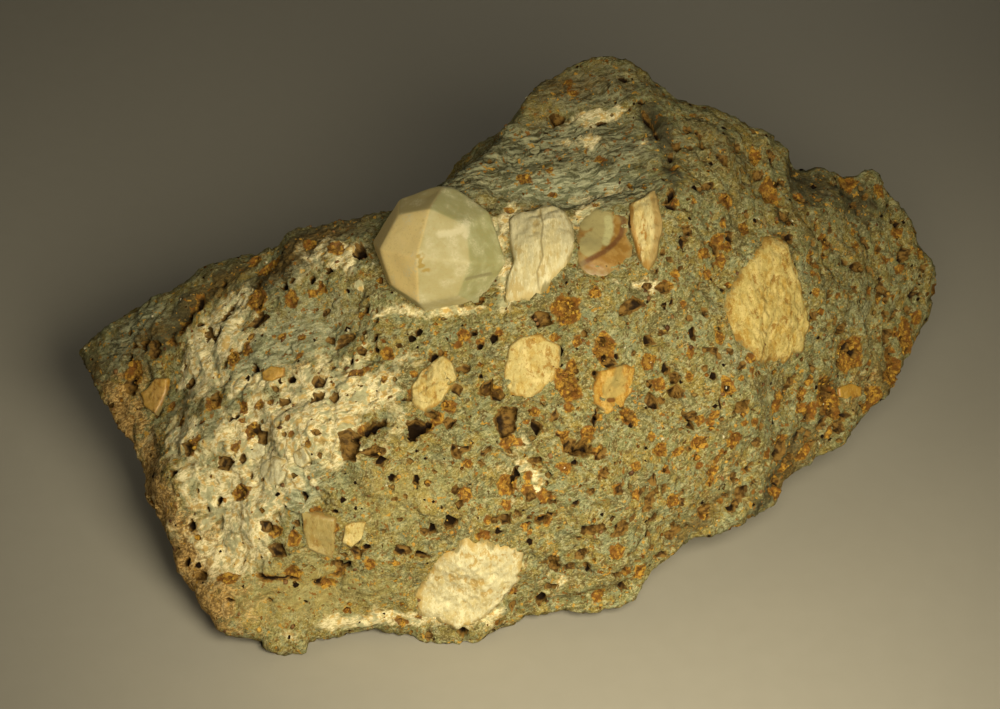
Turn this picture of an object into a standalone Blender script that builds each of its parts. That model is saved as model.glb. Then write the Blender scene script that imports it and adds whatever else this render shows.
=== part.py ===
"""Pseudoleucite specimen: a hand-sized broken block of vesicular phonolite with pseudoleucite crystals in it.

Sizes here are in millimetres and become metres where a mesh is made. +Z is up, +X runs along the block to
the viewer's right, and the display side faces -Y. The origin is in the middle of the flat that it rests on.
"""

import math

import bmesh
import bpy
import numpy as np
from mathutils import Quaternion, Vector
from mathutils.bvhtree import BVHTree

MM = 0.001

# ---- the block -------------------------------------------------------------------------------------------
# The broken block's corners, walked along its natural edges.
SKYLINE = {
    "left_tip": (-64, 10, 20),
    "left_rim": (-56, 10.5, 25.5),
    "left_shoulder": (-45.5, 9.5, 30.5),
    "rim_left": (-37.5, 9.5, 37),
    "rim_middle": (-24.5, 9, 42.5),
    "rim_crystal": (-16, 9, 45.5),
    "slope_foot": (-7.5, 11, 48.5),
    "slope_step": (0, 17, 51),
    "hump_foot": (3.5, 20.5, 52.5),
    "hump": (6.5, 26.5, 56),
    "peak": (14, 30, 58.5),
    "peak_right": (19.5, 29, 57),
    "saddle": (29, 26, 51.5),
    "second_peak": (38.5, 24.5, 48.5),
    "second_foot": (44, 31, 35.5),
    "third_peak": (55, 27, 41),
    "right_shoulder": (59.5, 26.5, 33.5),
    "right_tip": (64, 23, 24.5),
}
LOWER_EDGE = {
    "right_under": (62, 16.5, 16.5),
    "right_low": (59, 9, 13),
    "under_right": (49.5, 0, 10.5),
    "under_corner": (41.5, -8, 9.5),
    "under_spur": (36, -13.5, 8.5),
    "under_middle": (27, -19.5, 8),
    "under_front": (21, -26, 3.5),
    "foot_right": (5.5, -28.5, 1.5),
    "foot_front": (-7.5, -31, -1),
    "foot_arch": (-20.5, -31.2, 0.5),
    "foot_nub": (-29.5, -31.6, 2),
    "foot_left": (-35.5, -31.5, 1.5),
    "foot_corner": (-40.5, -29.5, 5),
    "left_end_low": (-44.5, -21, 8.5),
    "left_end_middle": (-55.5, -1, 17),
}
DISPLAY_SIDE = {
    "corner_low": (-28.5, -30.5, 15),
    "ridge_low": (-16, -24.5, 31),
    "ridge_crystal": (-3, -8.5, 39.5),
    "ledge_front": (13.5, -9, 44),
    "ledge_right": (22, -4, 46),
    "edge_right": (23, 5.5, 50.5),
    "edge_top": (20.5, 21, 55.5),
    "slope_hollow": (8.5, 9, 47.5),
    "slope_left": (-4, 4, 47.5),
    "front_middle": (13.5, -23, 28),
    "front_low": (-2.5, -29, 14),
    "front_right": (33.5, -11, 27.5),
    "front_upper": (36.5, 5, 42),
    "right_middle": (50.5, 9, 30),
    "left_middle": (-34.5, -13.5, 29),
    "left_low": (-44.5, -16, 19),
    "left_high": (-21, -1.5, 41.5),
    "left_upper": (-48.5, 2.5, 25.5),
}
BACK = {
    "back_left_high": (-44, 20, 25),
    "back_left_low": (-40, 27, 8),
    "back_middle_high": (-9, 26, 36),
    "back_middle": (-10, 37, 22),
    "back_peak": (18, 38, 44),
    "back_waist": (14, 42, 22),
    "back_right_high": (44, 38, 22),
    "back_right": (38, 42, 14),
    "right_end_low": (57, 30, 13),
}
# The flat it rests on: these lie a little below the floor, and all below it is trimmed to a flat.
UNDERSIDE = {
    "rest_front_left": (-30, -24, -2.2),
    "rest_front": (-7, -24, -2.2),
    "rest_right": (18, -14, -2),
    "rest_back_right": (28, 16, -2),
    "rest_back": (8, 32, -2),
    "rest_back_left": (-26, 22, -2),
    "rest_left": (-38, -4, -2),
    "rest_centre": (0, 0, -2.5),
    "under_right_end": (48, 18, 7),
    "under_left_end": (-50, 8, 8),
}
CORNERS = {**SKYLINE, **LOWER_EDGE, **DISPLAY_SIDE, **BACK, **UNDERSIDE}

BLOCK_CENTRE = (0, 2, 24)  # every corner can be seen from here
BLOCK_REACH = (62, 36, 32)  # half sizes that make the block about as wide each way
WEAR = 0.03  # how far an edge is rounded, as a share of the reach
SWELLS = ((19, 0.7, 11), (7, 0.22, 12))  # wavelength, height and seed of the surface's lumps
# Local pulls on the finished surface: where, how wide, and how far it moves.
PULLS = {
    "foot_arch": ((-20, -31, 0), 5, (0, 1.2, 0.6)),
    "nub": ((-30, -31.5, 1), 1.8, (0, -1.6, -1.5)),
    "notch": ((48, 27, 41), 5.5, (0, -0.5, -4)),
    "second_cliff": ((43.5, 25, 44), 3, (-0.8, 0, -3)),
}
# Flow ridges lie in bands on the steep slope behind the crystals, and round the hump above it.
FLOW = {"spot": (6, 15, 50), "width": 13, "way": (-0.15, 0.55, 0.82), "spacing": 3.2, "height": 0.45}
GRID = 44  # squares along each side of the cube that the surface is first drawn on
KEPT = 0.12  # share of those triangles left after the flat places are simplified

# ---- the display side ------------------------------------------------------------------------------------
# A spot on the display side is a column and a row of a view from EYE, 1000 wide and 709 high.
EYE = (0, -310.8, 269.5)
VIEW_CENTRE = (0, 0, 26.7)
VIEW_TILT = math.radians(38)
VIEW_STEP = 0.142  # mm per column or row at VIEW_CENTRE

# ---- crystals --------------------------------------------------------------------------------------------
# Whole pseudoleucite crystals are trapezohedra: column, row, depth of the centre below the surface in mm,
# reach along an axis in mm, the axis that points outwards as (across, up, toward the eye), and the
# degrees that the crystal is turned clockwise about it.
WHOLE_CRYSTALS = {
    "crystal_main": (439, 252, -1.6, 9.8, (-0.28, -0.12, 0.953), 9),
    "crystal_banded": (604, 246, 2.0, 4.5, (0.30, 0.28, 0.91), 20),
}
# Broken crystals: how proud the broken face stands in mm, how deep they reach, and the outline.
BROKEN_CRYSTALS = {
    "crystal_white": (2.1, 5, ((514, 217), (534, 212), (546, 205), (565, 214), (573, 224), (574, 245),
                               (568, 264), (546, 288), (530, 299), (505, 300), (509, 286), (519, 262))),
    "crystal_striped": (1.3, 5, ((633, 207), (640, 202), (651, 192), (659, 214), (661, 234), (657, 257),
                                 (649, 270), (643, 262), (638, 240))),
    "crystal_large_right": (0.9, 6, ((768, 235), (785, 242), (793, 259), (804, 300), (810, 326), (800, 352),
                                     (785, 363), (759, 363), (741, 343), (726, 332), (723, 306), (735, 279),
                                     (754, 253))),
    "crystal_centre": (0.7, 5, ((509, 346), (520, 338), (541, 333), (559, 346), (561, 360), (554, 378),
                                (541, 392), (527, 399), (513, 396), (503, 385), (504, 367))),
    "crystal_centre_left": (0.6, 4, ((442, 355), (453, 362), (457, 378), (449, 392), (435, 408), (421, 411),
                                     (412, 401), (410, 387), (421, 371))),
    "crystal_ringed": (0.5, 4, ((600, 371), (612, 368), (626, 364), (635, 368), (632, 392), (623, 406),
                                (607, 414), (594, 403), (593, 387))),
    "crystal_foot": (0.9, 6, ((469, 539), (490, 542), (518, 546), (523, 559), (518, 582), (499, 605),
                              (479, 620), (449, 628), (419, 615), (414, 596), (428, 575), (440, 553))),
    "crystal_amber_left": (0.8, 4, ((156, 378), (168, 378), (168, 388), (163, 403), (156, 416), (144, 406),
                                    (140, 393))),
    "crystal_glassy": (0.6, 4, ((301, 511), (319, 514), (336, 518), (335, 540), (333, 560), (324, 556),
                                (309, 550), (303, 524))),
    "crystal_granular": (0.6, 3, ((345, 525), (354, 522), (366, 522), (362, 538), (351, 547), (342, 542))),
    "crystal_amber_small": (0.5, 3, ((262, 373), (272, 366), (286, 368), (285, 376), (272, 382), (263, 380))),
    "crystal_pale_hexagon": (0.5, 3, ((294, 451), (304, 447), (311, 455), (311, 461), (302, 468),
                                      (295, 464))),
    "crystal_pale_left": (0.6, 4, ((262, 463), (274, 456), (286, 459), (289, 472), (280, 485), (267, 486),
                                   (261, 476))),
    "crystal_pale_high": (0.4, 3, ((245, 448), (255, 442), (266, 446), (266, 456), (256, 461), (246, 458))),
    "crystal_brown_right": (0.5, 3, ((838, 388), (850, 383), (862, 387), (862, 396), (850, 401), (839, 397))),
}
# Broken crystals on the sides away from the viewer: a direction out of the block's centre, then sizes in mm.
BACK_CRYSTALS = {
    "crystal_back_upper": ((0.45, 0.75, 0.42), 5.2, 0.7, 5),
    "crystal_back_left": ((-0.55, 0.80, 0.15), 4.2, 0.6, 4),
    "crystal_back_low": ((0.10, 0.97, -0.20), 3.4, 0.6, 4),
    "crystal_back_right": ((0.82, 0.55, -0.15), 3.0, 0.6, 4),
    "crystal_back_crest": ((-0.20, 0.85, 0.45), 2.6, 0.5, 3),
}
GAP = 0.36  # between a crystal and its socket
# A broken crystal's top is drawn in and uneven, its rim is just below the surface, and it tapers below.
TOP_DRAWN_IN = 0.10
TOP_UNEVEN = 0.18  # share of how proud it stands
RIM_LEVEL = 0.25  # share of its depth
TAPER = 0.45
BACK_CRYSTAL_SIDES = 8
BACK_CRYSTAL_HEIGHT = 0.85  # over its width
BACK_CRYSTAL_UNEVEN = 0.12

# ---- pits ------------------------------------------------------------------------------------------------
# Gas pits on the display side: column, row, width, height, and turn in degrees anticlockwise.
PITS = {
    "front_middle": (
        (417, 426, 20, 20, 0), (584, 449, 24, 23, 0), (451, 524, 16, 16, 0), (432, 530, 9, 14, 0),
        (506, 419, 26, 30, 0), (350, 443, 24, 36, -15), (377, 423, 20, 17, 0), (375, 452, 22, 12, 0),
        (494, 338, 10, 10, 0), (569, 446, 14, 17, -30), (463, 451, 19, 10, 10), (505, 519, 14, 13, 0),
        (582, 552, 12, 10, 0), (550, 588, 15, 11, 0), (620, 488, 20, 12, 30), (606, 473, 14, 13, 0),
        (592, 530, 27, 19, 20), (449, 422, 13, 14, 0), (541, 318, 17, 17, 0), (403, 551, 17, 13, 0),
        (566, 309, 25, 22, 0), (566, 385, 19, 34, 15), (605, 351, 19, 27, 0), (631, 307, 28, 17, 30),
    ),
    "front_right": (
        (750, 467, 14, 14, 0), (664, 288, 15, 13, 0), (741, 408, 20, 18, 0), (651, 402, 15, 15, 0),
        (677, 392, 17, 15, 0), (666, 370, 12, 11, 0), (693, 333, 8, 15, 0), (831, 356, 7, 18, 0),
        (841, 329, 18, 15, 0), (789, 384, 20, 13, 0), (915, 298, 10, 18, 0), (652, 499, 15, 27, -25),
        (654, 480, 10, 13, 0), (780, 450, 27, 26, 0), (825, 404, 18, 27, 20), (850, 356, 22, 24, 0),
        (661, 450, 17, 13, 0), (776, 401, 16, 19, 0), (734, 477, 12, 11, 0), (706, 510, 14, 12, 0),
        (685, 244, 9, 18, 0),
    ),
    "crest": (
        (646, 116, 10, 36, 20), (705, 144, 14, 13, 0), (723, 157, 16, 14, 0), (753, 157, 11, 17, 0),
        (671, 192, 11, 18, 0), (731, 211, 12, 11, 0), (710, 185, 14, 12, 0), (856, 267, 18, 12, 0),
        (865, 242, 15, 13, 0), (851, 297, 12, 12, 0), (799, 192, 11, 10, 0), (557, 118, 16, 19, 0),
        (768, 194, 18, 25, 0),
    ),
    "left": (
        (359, 251, 15, 27, 10), (366, 310, 10, 9, 0), (344, 341, 21, 13, 20), (258, 317, 24, 26, 30),
        (231, 308, 12, 11, 0), (222, 284, 12, 10, 0), (316, 397, 16, 19, 0), (196, 524, 10, 14, 0),
        (277, 550, 20, 16, 0), (260, 577, 12, 8, 0),
    ),
}
# A pit's cutter has three rings: level, size as a share of the pit's, and corners. The first level is in
# mm above the surface, and the others are shares of the depth below it.
PIT_MOUTH = (0.8, 1.0, 5)
PIT_WALL = (-0.2, 0.95, 5)
PIT_FLOOR = (-0.85, 0.5, 3)
PIT_DEPTH = 0.42  # depth over the sum of width and height
BACK_PITS = 24  # more of them, scattered over the sides away from the viewer
BACK_PIT_SIZES = (1.4, 3.4)  # smallest and largest width in mm
BACK_PIT_CLEAR = 7  # mm between the middles of two of them, or of one and a crystal
BACK_PIT_LOWEST = 5  # mm above the flat
# Open cracks: width, depth and the spots they run through.
CRACKS = {
    "rusty_crack": (0.9, 1.1, ((268, 578), (316, 583), (342, 571), (364, 551))),
    "slanting_crack": (1.6, 1.6, ((170, 337), (184, 320), (200, 298))),
}

# ---- materials -------------------------------------------------------------------------------------------
# Base colour and roughness of each kind of stone, and the kind that each crystal is.
STONES = {
    "grey_green_rock": ((0.255, 0.245, 0.145), 0.85),
    "waxy_cream": ((0.56, 0.47, 0.28), 0.42),
    "white_cleaved": ((0.62, 0.55, 0.38), 0.55),
    "chalky_cream": ((0.60, 0.47, 0.24), 0.75),
    "amber": ((0.48, 0.29, 0.10), 0.35),
    "brown": ((0.30, 0.19, 0.09), 0.55),
}
KIND = {
    "crystal_main": "waxy_cream",
    "crystal_banded": "waxy_cream",
    "crystal_white": "white_cleaved",
    "crystal_amber_left": "amber",
    "crystal_amber_small": "amber",
    "crystal_glassy": "amber",
    "crystal_brown_right": "brown",
}


def unit(vectors):
    """Vectors of length 1, along the last axis."""
    vectors = np.asarray(vectors, float)
    return vectors / np.linalg.norm(vectors, axis=-1, keepdims=True)


def swell(points, wavelength, seed, waves=24):
    """Smooth lumps of about one wavelength: many sine waves in random directions, spread about 1."""
    draw = np.random.default_rng(seed)
    ways = unit(draw.normal(size=(waves, 3))) * 2 * math.pi / wavelength
    ways *= draw.uniform(0.7, 1.4, (waves, 1))
    turns = draw.uniform(0, 2 * math.pi, waves)
    return np.sin(points @ ways.T + turns).sum(1) * math.sqrt(2 / waves)


def flow_ridges(points):
    """How far the flow bands stand out: rounded saw teeth up the slope, bent by a swell, fading outwards."""
    offset = points - FLOW["spot"]
    near = np.exp(-((offset / FLOW["width"]) ** 2).sum(1))
    along = offset @ unit(FLOW["way"]) + 1.2 * swell(points, 16, 21)
    tooth = (along / FLOW["spacing"]) % 1
    return near * FLOW["height"] * (1.6 * tooth * (1 - tooth**3) - 0.4)


def corner_facets():
    """For each triangle of neighbouring corners, the matrix giving a direction's shares of its corners."""
    corners = (np.array(list(CORNERS.values())) - BLOCK_CENTRE) / BLOCK_REACH
    hull = bmesh.new()
    for number, way in enumerate(unit(corners)):
        hull.verts.new(way).index = number
    bmesh.ops.convex_hull(hull, input=hull.verts)
    bmesh.ops.triangulate(hull, faces=hull.faces)
    triangles = [[v.index for v in face.verts] for face in hull.faces]
    hull.free()
    return np.linalg.inv(corners[triangles])


def faceted_reach(ways, facets):
    """Distance from the centre to the flat facets in each direction: one over the sum of corner shares."""
    shares = [ways @ facets[:, :, corner].T for corner in range(3)]
    inside = np.minimum(np.minimum(*shares[:2]), shares[2]).argmax(1)
    row = np.arange(len(ways))
    return 1 / sum(share[row, inside] for share in shares)


def block_surface(ways):
    """Points of the block's surface: worn facets, then lumps and flow ridges pushed out, then local pulls."""
    facets = corner_facets()
    nearby = [(0, 0, 0)]
    nearby += [tuple(side * WEAR * (k == axis) for k in range(3)) for axis in range(3) for side in (-1, 1)]
    reach = np.mean([faceted_reach(unit(ways + step), facets) for step in nearby], axis=0)
    points = ways * reach[:, None] * BLOCK_REACH
    for wavelength, height, seed in SWELLS:
        points += unit(points) * (height * swell(points, wavelength, seed))[:, None]
    points += BLOCK_CENTRE
    points += unit(points - BLOCK_CENTRE) * flow_ridges(points)[:, None]
    for spot, width, move in PULLS.values():
        near = np.exp(-(((points - spot) / width) ** 2).sum(1))
        points += near[:, None] * move
    points[:, 2] = points[:, 2].clip(min=0)
    return points


def make_material(kind):
    colour, roughness = STONES[kind]
    material = bpy.data.materials.new(kind)
    material.use_nodes = True
    shader = material.node_tree.nodes["Principled BSDF"]
    shader.inputs["Base Color"].default_value = (*colour, 1)
    shader.inputs["Roughness"].default_value = roughness
    return material


def make_object(name, solid, material=None):
    """Turns a bmesh in millimetres into a named object in metres."""
    bmesh.ops.scale(solid, vec=(MM, MM, MM), verts=solid.verts)
    mesh = bpy.data.meshes.new(name)
    solid.to_mesh(mesh)
    solid.free()
    if material:
        mesh.materials.append(material)
    made = bpy.data.objects.new(name, mesh)
    bpy.context.scene.collection.objects.link(made)
    return made


def cube_directions():
    """A cube of GRID squares a side as a bmesh, and its vertices' directions, even over the sphere."""
    cube = bmesh.new()
    bmesh.ops.create_cube(cube, size=2)
    bmesh.ops.subdivide_edges(cube, edges=cube.edges, cuts=GRID - 1, use_grid_fill=True)
    ways = np.array([vertex.co for vertex in cube.verts])
    return cube, unit(np.tan(ways * math.pi / 4))


def make_block():
    """The block before anything is cut into it, with its flat places simplified, as an object."""
    block, ways = cube_directions()
    for vertex, point in zip(block.verts, block_surface(ways)):
        vertex.co = point
    bmesh.ops.triangulate(block, faces=block.faces)
    fine = make_object("fine_block", block)
    simpler = fine.modifiers.new("simpler", "DECIMATE")
    simpler.ratio = KEPT
    evaluated = fine.evaluated_get(bpy.context.evaluated_depsgraph_get())
    mesh = bpy.data.meshes.new_from_object(evaluated)
    bpy.data.objects.remove(fine, do_unlink=True)
    made = bpy.data.objects.new("matrix", mesh)
    mesh.materials.append(make_material("grey_green_rock"))
    bpy.context.scene.collection.objects.link(made)
    return made


def surface_tree(block):
    """A tree of the block's faces in millimetres, which finds where a line meets them."""
    points = [vertex.co / MM for vertex in block.data.vertices]
    return BVHTree.FromPolygons(points, [tuple(face.vertices) for face in block.data.polygons])


def view_axes():
    """The view's across, up and toward-the-eye directions."""
    up = Vector((0, math.sin(VIEW_TILT), math.cos(VIEW_TILT)))
    toward = Vector((0, -math.cos(VIEW_TILT), math.sin(VIEW_TILT)))
    return Vector((1, 0, 0)), up, toward


def sight(column, row):
    """The direction from the eye through a column and row of the view."""
    across, up, _ = view_axes()
    aim = Vector(VIEW_CENTRE) + across * (column - 500) * VIEW_STEP + up * (354.5 - row) * VIEW_STEP
    return (aim - Vector(EYE)).normalized()


def seen_spot(tree, column, row):
    """Where the eye sees the block at a column and row."""
    return tree.ray_cast(Vector(EYE), sight(column, row))[0]


def outward_spot(tree, way):
    """Where a direction out of the block's centre leaves the block."""
    way = Vector(way).normalized()
    return tree.ray_cast(Vector(BLOCK_CENTRE) + way * 200, -way)[0]


def smooth_normal(tree, spot, width):
    """The surface's normal at a spot, averaged over its neighbours within a width."""
    normal = Vector()
    for _, near_normal, _, _ in tree.find_nearest_range(spot, width):
        normal += near_normal
    return normal.normalized()


def hull_of(points):
    """The convex solid round some points, as a bmesh with flat faces joined."""
    solid = bmesh.new()
    for point in points:
        solid.verts.new(point)
    found = bmesh.ops.convex_hull(solid, input=solid.verts)
    spare = set(found["geom_interior"] + found["geom_unused"])
    inner = [vertex for vertex in solid.verts if vertex in spare]
    bmesh.ops.delete(solid, geom=inner, context="VERTS")
    bmesh.ops.remove_doubles(solid, verts=solid.verts, dist=0.05)
    bmesh.ops.dissolve_limit(solid, angle_limit=0.02, verts=solid.verts, edges=solid.edges)
    bmesh.ops.recalc_face_normals(solid, faces=solid.faces)
    return solid


def grown(solid, by):
    """A copy of a convex solid with each face moved out."""
    copy = solid.copy()
    copy.normal_update()
    moves = [vertex.normal * by * min(vertex.calc_shell_factor(), 2.5) for vertex in copy.verts]
    for vertex, move in zip(copy.verts, moves):
        vertex.co += move
    return copy


def trapezohedron_points():
    """The corners of a trapezohedron of reach 1: on the axes, between two axes and between three."""
    steps = [Vector((x, y, z)) for x in (-1, 0, 1) for y in (-1, 0, 1) for z in (-1, 0, 1)]
    share = {1: 1, 2: 2 / 3, 3: 1 / 2}
    return [step * share[round(step.length_squared)] for step in steps if step.length_squared]


def whole_crystal(tree, column, row, depth, reach, outward, turn):
    """A trapezohedron whose centre lies a depth below the spot seen at a column and row."""
    across, up, toward = view_axes()
    spot = seen_spot(tree, column, row)
    centre = spot + sight(column, row) * depth
    first = (across * outward[0] + up * outward[1] + toward * outward[2]).normalized()
    third = (up - first * up.dot(first)).normalized()
    third.rotate(Quaternion(first, math.radians(-turn)))
    second = third.cross(first)
    corners = trapezohedron_points()
    return hull_of(centre + reach * (first * c.x + second * c.y + third * c.z) for c in corners)


def broken_crystal(rim, normal, proud, depth):
    """A crystal broken off near the surface: a nearly flat top a little inside its rim, and a taper below."""
    middle = sum(rim, Vector()) / len(rim)
    points = []
    for number, corner in enumerate(rim):
        flat = corner - normal * normal.dot(corner - middle)
        uneven = TOP_UNEVEN * proud * math.sin(2.4 * number)
        points.append(flat.lerp(middle, TOP_DRAWN_IN) + normal * (proud + uneven))
        points.append(flat - normal * RIM_LEVEL * depth)
        points.append(flat.lerp(middle, TAPER) - normal * depth)
    return hull_of(points)


def seen_crystal(tree, proud, depth, outline):
    rim = [seen_spot(tree, *spot) for spot in outline]
    middle = sum(rim, Vector()) / len(rim)
    width = max((corner - middle).length for corner in rim)
    return broken_crystal(rim, smooth_normal(tree, middle, width), proud, depth)


def back_crystal(tree, way, radius, proud, depth):
    """A broken crystal with an uneven eight-sided outline, on a side that the viewer doesn't see."""
    spot = outward_spot(tree, way)
    normal = smooth_normal(tree, spot, radius)
    side = normal.orthogonal().normalized()
    other = normal.cross(side)
    rim = []
    for number in range(BACK_CRYSTAL_SIDES):
        turn = number * 2 * math.pi / BACK_CRYSTAL_SIDES
        reach = radius * (1 + BACK_CRYSTAL_UNEVEN * math.sin(1.9 * number + 7 * radius))
        rim.append(spot + (side * math.cos(turn) + other * BACK_CRYSTAL_HEIGHT * math.sin(turn)) * reach)
    return broken_crystal(rim, normal, proud, depth)


def make_crystals(tree):
    """Every crystal as a bmesh in millimetres, by name."""
    crystals = {name: whole_crystal(tree, *sizes) for name, sizes in WHOLE_CRYSTALS.items()}
    crystals.update({name: seen_crystal(tree, *sizes) for name, sizes in BROKEN_CRYSTALS.items()})
    crystals.update({name: back_crystal(tree, *sizes) for name, sizes in BACK_CRYSTALS.items()})
    return crystals


def pit_cutter(spot, normal, side, width, height, seed):
    """A rough bowl: rings above the surface, just below it and near the bottom, as a convex solid."""
    draw = np.random.default_rng(seed)
    other = normal.cross(side)
    deep = PIT_DEPTH * (width + height)
    points = []
    for (level, share, count), unit_level in ((PIT_MOUTH, 1), (PIT_WALL, deep), (PIT_FLOOR, deep)):
        start = draw.uniform(0, math.pi)
        for number in range(count):
            turn = start + (number + draw.uniform(-0.2, 0.2)) * 2 * math.pi / count
            reach = share * draw.uniform(0.85, 1.1) / 2
            flat = side * math.cos(turn) * width * reach + other * math.sin(turn) * height * reach
            points.append(spot + flat + normal * level * unit_level)
    return hull_of(points)


def seen_pit(tree, column, row, width, height, turn):
    across, up, _ = view_axes()
    spot = seen_spot(tree, column, row)
    normal = smooth_normal(tree, spot, 3)
    lean = math.radians(turn)
    side = across * math.cos(lean) + up * math.sin(lean)
    side = (side - normal * normal.dot(side)).normalized()
    return pit_cutter(spot, normal, side, width * VIEW_STEP, height * VIEW_STEP, column)


def back_pits(tree):
    """Pits on the sides and the back, scattered so that they keep clear of the crystals and of the flat."""
    draw = np.random.default_rng(5)
    taken = [outward_spot(tree, sizes[0]) for sizes in BACK_CRYSTALS.values()]
    cutters = []
    while len(cutters) < BACK_PITS:
        way = Vector(unit(draw.normal(size=3) * (1.2, 1, 0.8)))
        spot = outward_spot(tree, way)
        seen = way.dot(view_axes()[2]) > -0.15
        crowded = any((spot - other).length < BACK_PIT_CLEAR for other in taken)
        if seen or spot.z < BACK_PIT_LOWEST or crowded:
            continue
        taken.append(spot)
        normal = smooth_normal(tree, spot, 3)
        width, height = draw.uniform(*BACK_PIT_SIZES, 2)
        cutters.append(pit_cutter(spot, normal, normal.orthogonal().normalized(), width, height, len(taken)))
    return cutters


def crack_cutters(tree, width, depth, spots):
    """A wedge along each stretch of a crack, open at the surface."""
    points = [seen_spot(tree, *spot) for spot in spots]
    cutters = []
    for start, end in zip(points, points[1:]):
        normal = smooth_normal(tree, (start + end) / 2, 3)
        side = normal.cross(end - start).normalized() * width / 2
        along = (end - start).normalized() * 0.4
        wedge = []
        for corner in (start - along, end + along):
            wedge += [corner + side + normal * 1.2, corner - side + normal * 1.2, corner - normal * depth]
        cutters.append(hull_of(wedge))
    return cutters


def cut(block, cutters):
    """Takes the cutters out of the block with one Boolean."""
    joined = bmesh.new()
    for cutter in cutters:
        mesh = bpy.data.meshes.new("cutter")
        cutter.to_mesh(mesh)
        joined.from_mesh(mesh)
        bpy.data.meshes.remove(mesh)
        cutter.free()
    guide = make_object("cutters", joined)
    guide.hide_render = True
    guide.display_type = "WIRE"
    boolean = block.modifiers.new("sockets_and_pits", "BOOLEAN")
    boolean.operation = "DIFFERENCE"
    boolean.object = guide
    boolean.use_self = True


def clear_scene():
    for old in list(bpy.data.objects):
        bpy.data.objects.remove(old, do_unlink=True)


def main():
    clear_scene()
    block = make_block()
    tree = surface_tree(block)
    crystals = make_crystals(tree)
    cutters = [grown(crystal, GAP) for crystal in crystals.values()]
    cutters += [seen_pit(tree, *pit) for region in PITS.values() for pit in region] + back_pits(tree)
    for crack in CRACKS.values():
        cutters += crack_cutters(tree, *crack)
    cut(block, cutters)
    materials = {kind: make_material(kind) for kind in STONES if kind != "grey_green_rock"}
    for name, crystal in crystals.items():
        bmesh.ops.triangulate(crystal, faces=crystal.faces)
        make_object(name, crystal, materials[KIND.get(name, "chalky_cream")])


main()
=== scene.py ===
import math

import bmesh
import bpy
import numpy as np
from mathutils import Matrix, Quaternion, Vector
from mathutils.bvhtree import BVHTree


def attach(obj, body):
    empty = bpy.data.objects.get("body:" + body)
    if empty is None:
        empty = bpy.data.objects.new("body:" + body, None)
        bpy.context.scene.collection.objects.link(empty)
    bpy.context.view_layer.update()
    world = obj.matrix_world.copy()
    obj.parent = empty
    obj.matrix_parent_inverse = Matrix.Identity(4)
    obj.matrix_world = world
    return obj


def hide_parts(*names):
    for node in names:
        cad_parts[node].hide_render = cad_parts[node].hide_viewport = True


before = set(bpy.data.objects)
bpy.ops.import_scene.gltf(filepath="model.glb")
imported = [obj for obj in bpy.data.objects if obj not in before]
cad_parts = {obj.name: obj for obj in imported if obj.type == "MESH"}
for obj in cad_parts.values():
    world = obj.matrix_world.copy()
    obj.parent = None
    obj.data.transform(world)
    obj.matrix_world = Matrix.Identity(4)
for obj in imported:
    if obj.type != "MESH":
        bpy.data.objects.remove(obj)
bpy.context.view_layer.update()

# ---- The view --------------------------------------------------------------------------------------------
# The specimen is looked at from 38 degrees up, in front of its crystals. A spot on the display side is given
# as a column and a row of this view, 1000 wide and 709 high. Lengths are in mm until a mesh is made.
MM = 0.001
VIEW_CENTRE = np.array((0, 0, 26.7))
VIEW_TILT = math.radians(38)
VIEW_STEP = 0.142  # mm per column or row at VIEW_CENTRE
VIEW_MIDDLE = (500, 354.5)  # the column and row at which VIEW_CENTRE shows
LENS, SENSOR = 100, 36
EYE_DISTANCE = 1000 * VIEW_STEP * LENS / SENSOR
ACROSS = np.array((1, 0, 0))
UP = np.array((0, math.sin(VIEW_TILT), math.cos(VIEW_TILT)))
TOWARD = np.array((0, -math.cos(VIEW_TILT), math.sin(VIEW_TILT)))
EYE = VIEW_CENTRE + TOWARD * EYE_DISTANCE

camera = bpy.data.objects.new("camera", bpy.data.cameras.new("camera"))
camera.data.lens = LENS
camera.data.sensor_width = SENSOR
camera.data.clip_start = 0.01
camera.location = EYE * MM
camera.rotation_euler = (math.pi / 2 - VIEW_TILT, 0, 0)
bpy.context.scene.collection.objects.link(camera)
bpy.context.scene.camera = camera


def aimed_at(column, row):
    """The point that shows at a column and row, as far from the eye's plane as VIEW_CENTRE is."""
    return VIEW_CENTRE + (ACROSS * (column - VIEW_MIDDLE[0]) + UP * (VIEW_MIDDLE[1] - row)) * VIEW_STEP


def seen_at(points):
    """The column and row at which the eye sees each point."""
    offset = points - EYE
    scale = EYE_DISTANCE / (offset @ -TOWARD) / VIEW_STEP
    return np.stack([VIEW_MIDDLE[0] + (offset @ ACROSS) * scale, VIEW_MIDDLE[1] - (offset @ UP) * scale], 1)


# ---- The rock --------------------------------------------------------------------------------------------
# A broken block of grey-green lava, one piece: fractured faces with worn edges, flow ridges on the steep
# slope behind the crystals, and gas pits all round. It is a closed surface round a centre, drawn on a cube
# whose grid is finer toward the viewer, pushed in and out, and then simplified where it is flat.
SKYLINE = {
    "left_tip": (-64, 10, 20),
    "left_rim": (-56, 10.5, 25.5),
    "left_shoulder": (-45.5, 9.5, 30.5),
    "rim_left": (-37.5, 9.5, 37),
    "rim_middle": (-24.5, 9, 42.5),
    "rim_crystal": (-16, 9, 45.5),
    "slope_foot": (-7.5, 11, 48.5),
    "slope_step": (0, 17, 51),
    "hump_foot": (3.5, 20.5, 52.5),
    "hump": (6.5, 26.5, 56),
    "peak": (14, 30, 58.5),
    "peak_right": (19.5, 29, 57),
    "saddle": (29, 26, 51.5),
    "second_peak": (38.5, 24.5, 48.5),
    "second_foot": (44, 31, 35.5),
    "third_peak": (55, 27, 41),
    "right_shoulder": (59.5, 26.5, 33.5),
    "right_tip": (64, 23, 24.5),
}
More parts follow.
